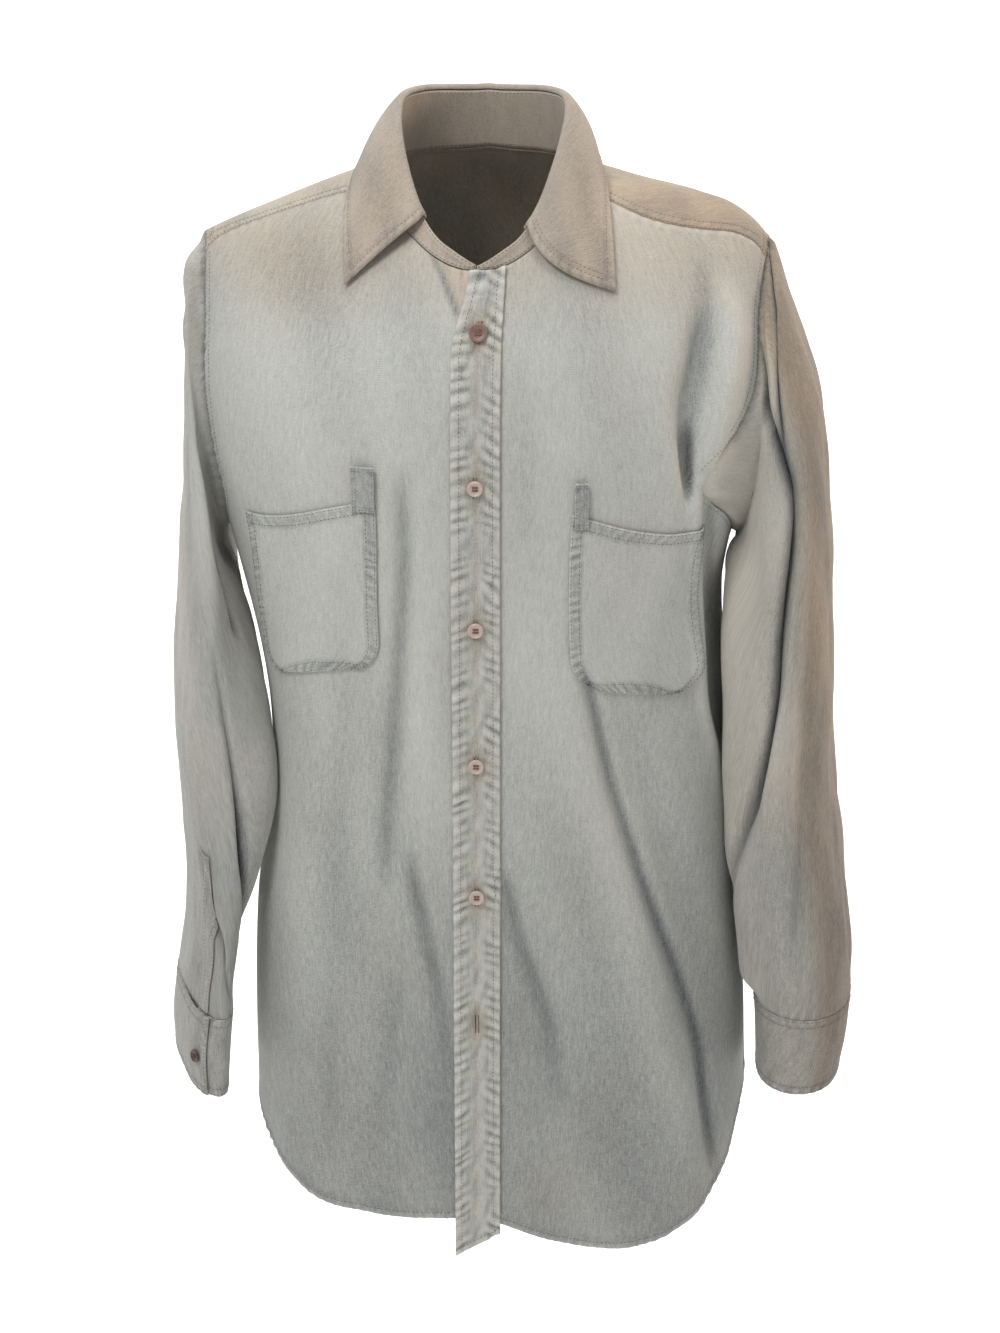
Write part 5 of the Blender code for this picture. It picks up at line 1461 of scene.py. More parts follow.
@dataclass
class Button:
    """A round button with a raised rim, a dished face and four holes, sewn on with crossed thread."""

    radius: float
    height: float
    sides: int = 40
    # share of the radius, share of the height
    profile: Array = table((0.0, 0.02), (0.55, 0.0), (0.80, 0.02), (0.94, 0.12), (1.0, 0.34), (1.0, 0.58),
                           (0.96, 0.84), (0.88, 0.98), (0.80, 0.96), (0.72, 0.80), (0.62, 0.68), (0.50, 0.63),
                           (0.36, 0.61), (0.22, 0.60), (0.10, 0.60), (0.0, 0.60))
    hole_ring: float = 0.27
    hole_half: float = 0.13

    def make(self, node: str, seat: Array, facing: Array, lift: float, finish: bpy.types.Material,
             thread: bpy.types.Material) -> None:
        """Turn the profile round the button's axis, press the holes in and sew it on.

        Args:
            node: the solid that it stands for.
            seat: where its axis meets the cloth.
            facing: the axis.
            lift: gap under it.
            finish: the button's finish.
            thread: the thread's finish.
        """
        facing = unit(np.asarray(facing, float).reshape(3))
        across = unit(np.cross(facing, (0.0, 0.0, 1.0)))
        up = np.cross(across, facing)
        base = np.asarray(seat, float).reshape(3) + facing * lift
        share = np.linspace(0, 1, 44)
        knots = np.linspace(0, 1, len(self.profile))
        out, rise = (np.interp(share, knots, self.profile[:, k]) for k in (0, 1))
        turn = np.arange(self.sides) * 2 * math.pi / self.sides
        x, y = out[1:-1, None] * np.cos(turn), out[1:-1, None] * np.sin(turn)
        press = np.zeros(x.shape)
        corners = math.pi / 4 + np.arange(4) * math.pi / 2
        for corner in corners:
            away = np.hypot(x - self.hole_ring * math.cos(corner), y - self.hole_ring * math.sin(corner))
            press += 1 - ease((away - self.hole_half * 0.6) / (self.hole_half * 0.6))
        upper = (share[1:-1] > 0.45)[:, None]
        level = rise[1:-1, None] * self.height - np.where(upper, press * self.height * 0.5, 0)
        ring = (base + (x[..., None] * across + y[..., None] * up) * self.radius + level[..., None] * facing)
        points = np.concatenate([ring.reshape(-1, 3), [base + facing * self.height * self.profile[0, 1]],
                                 [base + facing * self.height * self.profile[-1, 1]]])
        rows = len(ring)
        k = np.arange(self.sides)
        n = (k + 1) % self.sides
        back = np.stack([np.full(self.sides, len(points) - 2), n, k], axis=1)
        last = (rows - 1) * self.sides
        face = np.stack([last + k, last + n, np.full(self.sides, len(points) - 1)], axis=1)
        item = mesh_object(f"{node}_disc", points, [grid_faces(rows, self.sides, True), back, face], finish)
        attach(item, "root")
        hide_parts(node)
        sewn = Stitching(Thread("button_thread", pitch=self.radius, share=1.0, radius=self.radius * 0.065))
        ring_at = self.radius * self.hole_ring
        for first, second in ((0, 1), (3, 2)):
            ends = [base + facing * self.height * 0.66 + ring_at * (across * math.cos(a) + up * math.sin(a))
                    for a in (corners[first], corners[second])]
            line = ends[0] + (ends[1] - ends[0]) * np.linspace(-0.15, 1.15, 5)[:, None]
            for aside in (-0.06, 0.06):
                sewn.sew((line + aside * self.radius * up, np.tile(facing, (5, 1))), 0.0, self.radius)
        sink = lift + self.radius * 0.1
        shank = base + facing * np.linspace(-sink, self.radius * 0.1, 3)[:, None]
        for corner in corners:
            spot = ring_at * (across * math.cos(corner) + up * math.sin(corner))
            sewn.sew((shank + spot, np.tile(across, (3, 1))), 0.0, sink + self.radius * 0.1)
        threads = sewn.finish(f"{node}_thread", node, thread)
        LOG.info("%s: %.1f mm across, %s", node, self.radius * 2000, threads.name)


@dataclass
class Back:
    """The back and the yoke over the shoulders."""

    shop: Workshop
    # points down and across the yoke, then down the back to the armholes' feet and below, and across it
    yoke_points: tuple[int, int] = (64, 169)
    back_points: tuple[int, int, int] = (54, 150, 170)

    def build(self) -> None:
        """Make the yoke, then the back that hangs from it."""
        self.yoke()
        self.back()

    def yoke(self) -> None:
        """The yoke, over the shoulders."""
        shop, pattern = self.shop, self.shop.pattern
        down, wide = self.yoke_points
        grid = pattern.yoke(np.linspace(0, pattern.yoke_rows, down), np.linspace(0, pattern.wide_cols, wide))
        points, normals = pattern.form.on_yoke(grid[..., 0], grid[..., 1])
        yoke = Cloth(points, normals).draw_in(pattern.seam / 2, *Edge)
        x, y = yoke.points[..., 0], yoke.points[..., 1]
        yoke.fade += 0.05 * ripple(x, y, 0.05, 0.09, 121)
        yoke.warm += 0.60 + 0.10 * ripple(x, y, 0.08, 0.08, 123)
        yoke.fade -= 0.05
        yoke.mark((0.155, -0.02, -0.03), (0.080, 0.09, 0.05), -0.09, 0.50)
        for edge in (Edge.TOP, Edge.FOOT):
            yoke.turn_in(edge, 0.008, 0.0003)
        for edge, seed in ((Edge.TOP, 125), (Edge.FOOT, 127), (Edge.FIRST, 129), (Edge.LAST, 131)):
            shop.puckered(yoke, edge, seed)
        yoke.face_again()
        yoke.lay("yoke_cloth", "yoke", shop.cloth, shop.finishes.body)
        threads = shop.sew(yoke, "yoke", shop.on_cloth, shop.finishes.thread,
                           [(edge, inset, 0.002) for inset in shop.seam_rows for edge in Edge])
        yoke.declare("hung", (), (threads,))

    def back(self) -> None:
        """The back, hung from the yoke."""
        shop, pattern = self.shop, self.shop.pattern
        split = pattern.back_arm_rows
        rows = in_two(split, split + pattern.side_rows, self.back_points[:2])
        grid = pattern.back(rows, np.linspace(0, pattern.wide_cols, self.back_points[2]))
        points, normals = pattern.form.on(grid[..., 0], grid[..., 1], True)
        back = Cloth(points, normals).draw_in(pattern.seam / 2, Edge.TOP, Edge.FIRST, Edge.LAST)
        x, z = back.points[..., 0], back.points[..., 2]
        # random tone, and painted shade growing towards the hem
        back.fade += 0.06 * ripple(x, z, 0.10, 0.30, 141) - 0.17 * ease((-0.36 - z) / 0.36)
        # crease ridges paled by wear, crease troughs darkened as painted shade
        back.fade += shop.wear * pattern.form.wear(back.points, True)
        back.warm += 0.06 * ripple(x, z, 0.16, 0.22, 143)
        back.turn_in(Edge.FOOT, shop.hem, 0.0004)
        back.rope(Edge.FOOT, shop.hem, 0.0085, 0.0006, 145, 0.9, 0.10)
        shop.puckered(back, Edge.TOP, 147, 0.0002)
        back.face_again()
        back.lay("back_cloth", "back", shop.cloth, shop.finishes.body)
        threads = shop.sew(back, "back", shop.on_cloth, shop.finishes.thread,
                           [(Edge.FOOT, shop.hem_row, 0.0)])
        back.declare("hung", ("yoke_cloth",), (threads,))


# rings of a sleeve or a cuff: x and z of the outer edge, x and z of the inner one, middle y and half-depth in
# millimetres, all as on the wearer's left, and the turn in degrees
SLEEVE_RIGHT = lines(IN_RINGS, [
    (216.5, -77, 202.5, -279, 11, 63, 0), (220, -111, 201.5, -290, 10, 71, 1),
    (224, -158, 198.5, -304, 8, 79, 3), (229, -215, 192, -320, 4, 85, 6), (235, -275, 186.5, -342, 1, 86, 8),
    (241, -335, 180.5, -372, -3, 85, 10), (245, -395, 175.5, -412, -9, 82, 12),
    (245, -450, 174.5, -458, -16, 79, 14), (242.5, -505, 178.5, -508, -24, 75, 16),
    (240.5, -555, 184, -556, -33, 70, 18), (243, -602, 191.5, -603, -42, 65, 20),
    (249, -650, 195.5, -650, -50, 61, 22)])[0]
SLEEVE_LEFT = lines(IN_RINGS, [
    (217, -76, 193, -280, 10, 64, 0), (228.5, -110, 192.5, -293, 9, 73, 0),
    (246.5, -157, 193, -305, 7, 80, 0), (255, -212, 192.5, -321, 5, 86, 0),
    (260.5, -272, 189.5, -343, 3, 86, 1), (264.5, -332, 189.5, -373, 1, 85, 2),
    (268, -392, 191, -412, -2, 83, 3), (270, -448, 194, -457, -5, 80, 4),
    (276.5, -503, 199.5, -507, -9, 76, 5), (283.5, -555, 206.5, -556, -13, 71, 5),
    (289.5, -603, 212.5, -604, -17, 66, 5), (292, -652, 216.5, -652, -20, 61, 5)])[0]
CUFF_RIGHT = lines(IN_RINGS, [
    (252.5, -684, 198.5, -684, -55, 58, 23), (252, -717, 200.5, -717, -58, 56, 24)])[0]
CUFF_LEFT = lines(IN_RINGS, [
    (290, -686, 218.5, -686, -22, 58, 5), (285, -719, 220, -719, -23, 56, 5)])[0]
# creases: share of the length and turn in hundredths, half-width and depth in mm (below nought is a ridge)
CREASES_RIGHT = lines(
    IN_SHARES,
    [(10, 25.5, 6, 0), (18.5, 28.5, 6, 6), (25.3, 31.9, 6.5, 10), (32.7, 33.3, 7, 12), (40.1, 36.1, 6, 10),
     (45.5, 36.1, 5, 4), (48.1, 36.1, 5, 0)],
    [(22, 47, 18, 0), (32, 45.5, 20, -6), (40, 44.5, 20, -6.2), (50, 43, 20, -7.8), (59.3, 41.5, 21, -10),
     (66, 40, 21, -15), (72, 39, 21, -16), (79, 38.5, 19, -10), (88, 38, 16, 0)],
    [(50, 24, 6, 0), (57.4, 25, 6, 4), (62.3, 26.4, 6, 5.2), (68.5, 28.5, 5.8, 7), (76.5, 30.5, 5.6, 8.5),
     (84, 34, 5.6, 8), (90, 37.5, 5, 0)],
    [(76, 8.5, 6, 0), (80.2, 11.1, 6, 4), (86.4, 14.6, 6, 5.2), (90.1, 20.1, 6, 5), (95, 27, 6, 4),
     (99, 34, 6, 0)],
    [(14, 20, 14, 0), (25, 22.5, 15, -4), (42, 25, 16, -4), (55, 21, 16, 0)],
    [(8, 9, 10, 0), (16, 10, 11, 2.4), (34, 12, 12, 3), (50, 13, 12, 0)],
    [(10, 93, 12, 0), (18, 92, 13, 4), (40, 90, 14, 5), (60, 91, 12, 0)],
    [(22, 72, 10, 0), (32, 74, 11, 6), (52, 78, 12, 7), (74, 80, 10, 3), (82, 80, 10, 0)],
    [(45, 62, 10, 0), (55, 65, 11, 5), (70, 70, 11, 5), (82, 72, 10, 0)])
CREASES_LEFT = lines(
    IN_SHARES,
    [(3, 18.5, 6, 0), (6, 20.5, 6, 5), (10.5, 22.9, 6.2, 9), (20.4, 22.2, 6.4, 9.5), (27.2, 21.5, 8, 12),
     (32.1, 20.8, 9.5, 15), (36.4, 21.5, 10.5, 16.5), (40.7, 22.9, 9.5, 15.5), (48.1, 25, 7.5, 13),
     (56.2, 26.4, 6.2, 11), (61.7, 29.2, 5.8, 10), (69.8, 33.3, 5.6, 8.5), (74.7, 36.8, 5.5, 6),
     (81, 40.5, 5.5, 3), (87, 44, 5.5, 0)],
    [(0.5, 3, 5, 0), (3, 6, 5, 5.5), (8, 11.1, 5.2, 8), (13, 15.3, 5.5, 8.5), (17.3, 18.4, 5.5, 8),
     (22.2, 20.1, 5.5, 4), (26, 20.8, 5.5, 0)],
    [(4, 12.5, 5, 0), (8, 16.8, 5.5, -3), (13, 19.4, 5.5, -3.4), (18, 20.7, 5, 0)],
    [(27, 48, 5, 0), (31.5, 46.5, 5, 5), (38.3, 43.8, 5.2, 7), (44, 45.5, 5, 6), (50, 47, 5, 3),
     (54, 48, 5, 0)],
    [(9, 46, 18, 0), (18, 43, 20, -10), (28, 41.5, 22, -16), (46, 40, 21, -15), (62, 40, 21, -12),
     (80, 40.5, 22, -15), (93, 41, 22, -15), (100, 42, 20, -10)],
    [(44, 16, 12, 0), (56, 17, 12, 3), (72, 18.5, 12, 3.6), (86, 24, 10, 3.6), (95, 27, 10, 0)],
    [(62, 48, 10, 0), (72, 48.5, 10, 5), (86, 47.5, 10, 6), (96, 47, 10, 0)],
    [(18, 68, 12, 0), (30, 70, 13, 7), (55, 75, 14, 8), (78, 79, 12, 0)],
    [(8, 88, 10, 0), (20, 89, 11, 5), (40, 93, 12, 5), (60, 95, 11, 0)],
    [(60, 86, 9, 0), (70, 85, 10, 5), (85, 82, 11, 5), (95, 81, 10, 0)])
# bands of painted shade along the sleeves' folds, browned where dark: share, turn and half-width as above,
# how dark in hundredths (below nought is painted light)
PAINTED_SHADE_RIGHT = lines(
    IN_SHADES,
    [(17, 29, 4, 0), (22, 30.5, 5, 35), (30, 32.8, 7, 55), (38, 35, 6, 55), (46, 36.6, 4, 20),
     (50, 37, 4, 0)],
    [(68, 29, 4, 0), (76, 30.8, 4, 35), (84, 34, 5, 45), (90, 37, 5, 20), (95, 38, 5, 0)])
PAINTED_SHADE_LEFT = lines(
    IN_SHADES,
    [(1, 17, 6, 10), (10, 22.8, 7, 34), (20, 22.6, 8, 36), (28, 22.2, 9, 34), (36.4, 23, 13, 46),
     (43, 24.4, 11, 44), (50, 26.2, 9, 36), (60, 28.8, 6, 24), (74, 36, 5, 16), (86, 44, 5, 0)],
    [(0, 3, 5, 20), (8, 11.3, 5, 36), (17, 18.6, 5, 38), (23, 20.5, 5, 20), (26, 21, 5, 0)],
    [(0, 33, 40, -24), (12, 35, 40, -22), (26, 36, 35, -6), (34, 36, 30, 0)])


@dataclass
class Sleeve:
    """A sleeve with its cuff, the placket over its slit and the cuff's button."""

    shop: Workshop
    side: Side
    # outer edge x and z, inner edge x and z, middle y, half-depth, turn in degrees
    rows: Array
    cuff_rows: Array
    # creases: share of the length, turn, half-width, depth (below nought is a ridge)
    creases: tuple[Array, ...]
    # bands of painted shade along the folds: share of the length, turn, half-width, darkness (below nought is
    # painted light)
    painted_shades: tuple[Array, ...]
    slit: int
    # how warm the painted rim light on the outer front is
    rim_light_warmth: float
    flatness: float = 0.8
    # how strongly the creases pale their ridges by wear and darken their troughs with painted shade
    wear: float = 0.30
    # painted shade over the sleeve's lower part, its cuff and its placket
    low_painted_shade: float = 0.17
    rings: int = 19
    fine: int = 8
    fine_down: int = 8
    cuff_lap: int = 2
    cuff_step: float = 0.0026
    cuff_points: int = 22
    # row and column of the cuff's button, and its share of a front button's radius
    button_at: tuple[int, int] = (11, -10)
    button_share: float = 0.92
    placket_rings: int = 4
    placket_half: int = 5
    # the rim, painted warm light and shade: its turn, half its width, how softly it ends, how much darker it
    # is
    rim_turn: float = 0.075
    rim_half: float = 0.045
    rim_fade: float = 0.060
    rim_shade: float = 0.28
    # yellowing of the whole sleeve, as a share of the rim light's warmth
    warm_share: float = 0.22

    def ring(self, row: Array) -> Array:
        """An oval through the outer and inner edges, flatter before and behind, turned about the upright."""
        out_x, out_z, in_x, in_z, mid_y, half_depth, turn = row
        sign, turn = self.side.value, math.radians(turn)
        half_x, half_z = (out_x - in_x) / 2, (out_z - in_z) / 2
        width = math.sqrt(max(half_x ** 2 - (half_depth * math.sin(turn)) ** 2, 0.010 ** 2)) / math.cos(turn)
        count = self.shop.pattern.form.arm_steps * self.fine
        angle = np.arange(count) * 2 * math.pi / count
        outwards = np.array([sign * math.cos(turn), -math.sin(turn), 0.0])
        forwards = np.array([-sign * math.sin(turn), -math.cos(turn), 0.0])
        centre = np.array([sign * (out_x + in_x) / 2, mid_y, (out_z + in_z) / 2])
        across = np.cos(angle)[:, None] * (outwards * width + np.array([0.0, 0.0, half_z]))
        ahead = np.sign(np.sin(angle)) * np.abs(np.sin(angle)) ** self.flatness
        return centre + across + ahead[:, None] * forwards * half_depth

    def rim(self, turn: Array) -> Array:
        """How strong the painted warm rim light is at turns round the sleeve: most on the outer front."""
        return bell(np.maximum(apart(turn, self.rim_turn) - self.rim_half, 0), self.rim_fade)

    def armhole_edge(self) -> tuple[Array, Array]:
        """Points and normals of the body round the armhole."""
        pattern = self.shop.pattern
        form = pattern.form
        steps = np.arange(form.arm_steps * self.fine) / self.fine
        phi, z, back = pattern.armhole(self.side, steps)
        edge, normal = form.on(phi, z, back)
        high = (steps <= pattern.yoke_end) | (steps >= form.arm_steps - pattern.back_yoke_end)
        edge[high], normal[high] = form.on_yoke(phi[high], form.over_angle(phi[high], z[high], back[high]))
        return edge, normal

    def tube(self) -> Cloth:
        """The sleeve's cloth: smooth curves down through the rings, from the armhole to the cuff."""
        shop = self.shop
        first, normal = self.armhole_edge()
        hole = unit(first.mean(axis=0) - first)
        hole = unit(hole - normal * (hole * normal).sum(axis=1, keepdims=True))
        count = len(first)
        top = ((1 + np.cos(np.arange(count) * 2 * math.pi / count)) / 2)[:, None]
        start = first + hole * (shop.pattern.seam + shop.cloth / 2 * 0.7 * (1 - top))
        step = first + (self.ring(self.rows[0]) - first) * 0.35 + normal * 0.0012
        knots = np.arange(len(self.rows))
        at = np.linspace(0, len(self.rows) - 1, self.rings - 2)
        rings = np.stack([start, step] + [self.ring(row) for row in curve(at, knots, self.rows)])
        down = np.linspace(0, self.rings - 1, (self.rings - 1) * self.fine_down + 1)
        rings = curve(down, np.arange(self.rings), rings)
        cloth = Cloth(rings, rings - rings.mean(axis=1, keepdims=True), closed=True).face_again()
        tilt = unit(normal - hole * 0.9 * (1 - top))
        near = ease(1 - down / 1.0)[:, None, None]
        cloth.normals = unit(cloth.normals * (1 - near) + tilt * near)
        return cloth

    def crease(self, cloth: Cloth) -> None:
        """Press the creases in: each a bell across a line down the sleeve, painted dark as shade if deep,
        paled by wear if raised.
        """
        rows, cols = cloth.points.shape[:2]
        share, turn = np.linspace(0, 1, rows)[:, None], (np.arange(cols) / cols)[None, :]
        girth = np.linalg.norm(np.roll(cloth.points, -1, axis=1) - cloth.points, axis=-1).sum(axis=1)[:, None]
        total = np.zeros((rows, cols))
        for crease in self.creases:
            line, half, depth = (curve(share, crease[:, 0], crease[:, k]) for k in (1, 2, 3))
            away = apart(turn, line) * girth
            total += depth * bell(away, half)
            # crease troughs darkened as painted shade, ridges paled by wear
            cloth.fade -= self.wear * np.clip(depth / half, -0.4, 1.5) * bell(away, half * 0.8)
        for shade in self.painted_shades:
            line, half, much = (curve(share, shade[:, 0], shade[:, k]) for k in (1, 2, 3))
            # painted shade along the folds, turned brown where it is dark; below nought it is painted light
            painted_shade = much * bell(apart(turn, line) * girth, half)
            cloth.fade -= painted_shade
            cloth.warm += 0.6 * np.clip(painted_shade, 0, 1)
        x, y, z = (cloth.points[..., k] for k in range(3))
        total += 0.0010 * ripple(y + 0.3 * x, z + 0.4 * y, 0.05, 0.12, 151 + self.side.value)
        total += 0.0004 * ripple(y - 0.3 * x, z, 0.022, 0.07, 153 + self.side.value)
        cloth.push(-total * ease(share / 0.05) * (1 - ease((share - 0.95) / 0.05)))

    def build(self) -> None:
        """Make the sleeve, cuff, placket and button."""
        shop, word, node = self.shop, self.side.word, f"sleeve_{self.side.word}"
        cloth = self.tube()
        self.crease(cloth)
        top_normals = cloth.normals[0].copy()
        cloth.face_again()
        cloth.normals[0] = top_normals
        y, z = cloth.points[..., 1], cloth.points[..., 2]
        cloth.fade += 0.06 * ripple(y, z, 0.06, 0.20, 161 + self.side.value)
        turn = np.arange(cloth.points.shape[1]) / cloth.points.shape[1]
        # the warm rim is painted warm rim light
        rim = self.rim(turn)[None, :] + 0 * z
        cloth.warm += 0.03 * ripple(y, z, 0.10, 0.16, 163) + self.rim_light_warmth * rim
        cloth.warm += self.warm_share * self.rim_light_warmth
        # painted shade on the warm rim, and painted shade growing lower down
        cloth.fade -= self.rim_shade * self.rim_light_warmth * rim + self.low_painted_shade * ease((-0.36 - z) / 0.25)
        # painted shade in the groove along the armhole seam
        cloth.fade -= 0.22 * bell(cloth.inset(Edge.TOP), 0.005)
        for edge, seed in ((Edge.TOP, 165), (Edge.FOOT, 167)):
            shop.puckered(cloth, edge, seed + self.side.value)
        middle, normals = cloth.points.copy(), cloth.normals.copy()
        cloth.draw_in(shop.pattern.seam / 2, Edge.FOOT)
        cloth.lay(f"{node}_cloth", node, shop.cloth, shop.finishes.sleeve)
        cuff = self.cuff(middle[-1], normals[-1])
        placket = self.placket(middle, normals)
        seam = Stitching(shop.thread)
        under = cloth.points.shape[1] // 2
        for at in (under - 1, under + 1):
            seam.sew((cloth.points[4:-4, at], cloth.normals[4:-4, at]), shop.on_cloth)
        threads = seam.finish(f"{node}_stitching", node, shop.finishes.thread)
        cloth.declare("hung", ("yoke_cloth", f"front_{word}_cloth", "back_cloth"), (threads,))
        cuff.declare("hung", (f"{node}_cloth",))
        placket.declare("laid", (f"{node}_cloth",))

    def cuff(self, top: Array, top_normal: Array) -> Cloth:
        """The cuff, from the sleeve's end down through two ovals, its upper end stepping over the lower one.

        Args:
            top: the sleeve's last ring.
            top_normal: its normals.

        Returns:
            The cuff's cloth.
        """
        shop, node, steps = self.shop, f"cuff_{self.side.word}", self.shop.pattern.form.arm_steps
        rings = np.stack([top] + [self.ring(row) for row in self.cuff_rows])
        lower = Cloth(rings, rings - rings.mean(axis=1, keepdims=True), closed=True).face_again()
        lower.normals[0] = top_normal
        down = np.linspace(0, len(rings) - 1, self.cuff_points)
        points = curve(down, np.arange(len(rings)), lower.points)
        normals = unit(curve(down, np.arange(len(rings)), lower.normals))
        around = np.arange(-self.cuff_lap // 2 * self.fine, (steps + self.cuff_lap // 2) * self.fine + 1)
        order = (self.slit * self.fine + around) % (steps * self.fine)
        along = (around - around[0]) / self.fine
        rise = self.cuff_step * ease((along - (steps - 3)) / 3) + (shop.double - shop.cloth) / 2
        cloth = Cloth(points[:, order], normals[:, order])
        cloth.push(np.broadcast_to(rise, cloth.points.shape[:2])).draw_in(shop.pattern.seam, Edge.TOP)
        seat, facing = cloth.points[self.button_at], cloth.normals[self.button_at]
        for edge in Edge:
            cloth.turn_in(edge, 0.006, 0.00025)
            cloth.rope(edge, 0.006, 0.0085, 0.0004, 171 + self.side.value + len(edge.value), 0.7, 0.12)
        cloth.fade += 0.05 * ripple(cloth.beside(Edge.TOP), cloth.inset(Edge.TOP), 0.02, 0.05, 175)
        # the cuff's warm rim is painted warm rim light, darkened with painted shade
        rim = self.rim(order / len(top))[None, :]
        cloth.warm += 0.04 + self.rim_light_warmth * (self.warm_share + rim)
        # painted shade over the whole cuff, more on the painted warm rim
        cloth.fade -= self.low_painted_shade + self.rim_shade * self.rim_light_warmth * rim
        cloth.face_again()
        cloth.lay(f"{node}_cloth", node, shop.doubled_cloth, shop.finishes.sleeve)
        shop.sew(cloth, node, shop.on_double, shop.finishes.thread,
                 [(edge, shop.edge_row, 0.0) for edge in Edge]
                 + [(edge, 0.0065, 0.002) for edge in (Edge.TOP, Edge.FOOT)])
        button = Button(shop.button_radius * self.button_share, shop.button_height)
        button.make(f"cuff_button_{self.side.word}", seat, facing, shop.double / 2 + shop.button_gap,
                    shop.finishes.dark, shop.finishes.dark_thread)
        return cloth

    def placket(self, rings: Array, normals: Array) -> Cloth:
        """The strip over the sleeve's slit, made from the sleeve's own rows and moved out."""
        shop, node = self.shop, f"sleeve_placket_{self.side.word}"
        steps = self.shop.pattern.form.arm_steps * self.fine
        used = slice((self.rings - 1 - self.placket_rings) * self.fine_down, None)
        columns = (self.slit * self.fine + np.arange(-self.placket_half, self.placket_half + 1)) % steps
        cloth = Cloth(rings[used][:, columns], normals[used][:, columns])
        cloth.push(np.full(cloth.points.shape[:2], shop.cloth + shop.lift)).draw_in(0.0025, Edge.FOOT)
        edges = (Edge.TOP, Edge.FIRST, Edge.LAST)
        for edge in edges:
            cloth.turn_in(edge, 0.003, 0.0002)
        # painted shade, as on the sleeve's lower part
        cloth.fade -= self.low_painted_shade
        cloth.warm += self.warm_share * self.rim_light_warmth + 0.05
        cloth.face_again()
        cloth.lay(f"{node}_cloth", node, shop.cloth, shop.finishes.sleeve)
        shop.sew(cloth, node, shop.on_cloth, shop.finishes.warm_thread,
                 [(edge, shop.edge_row, 0.0) for edge in edges])
        return cloth


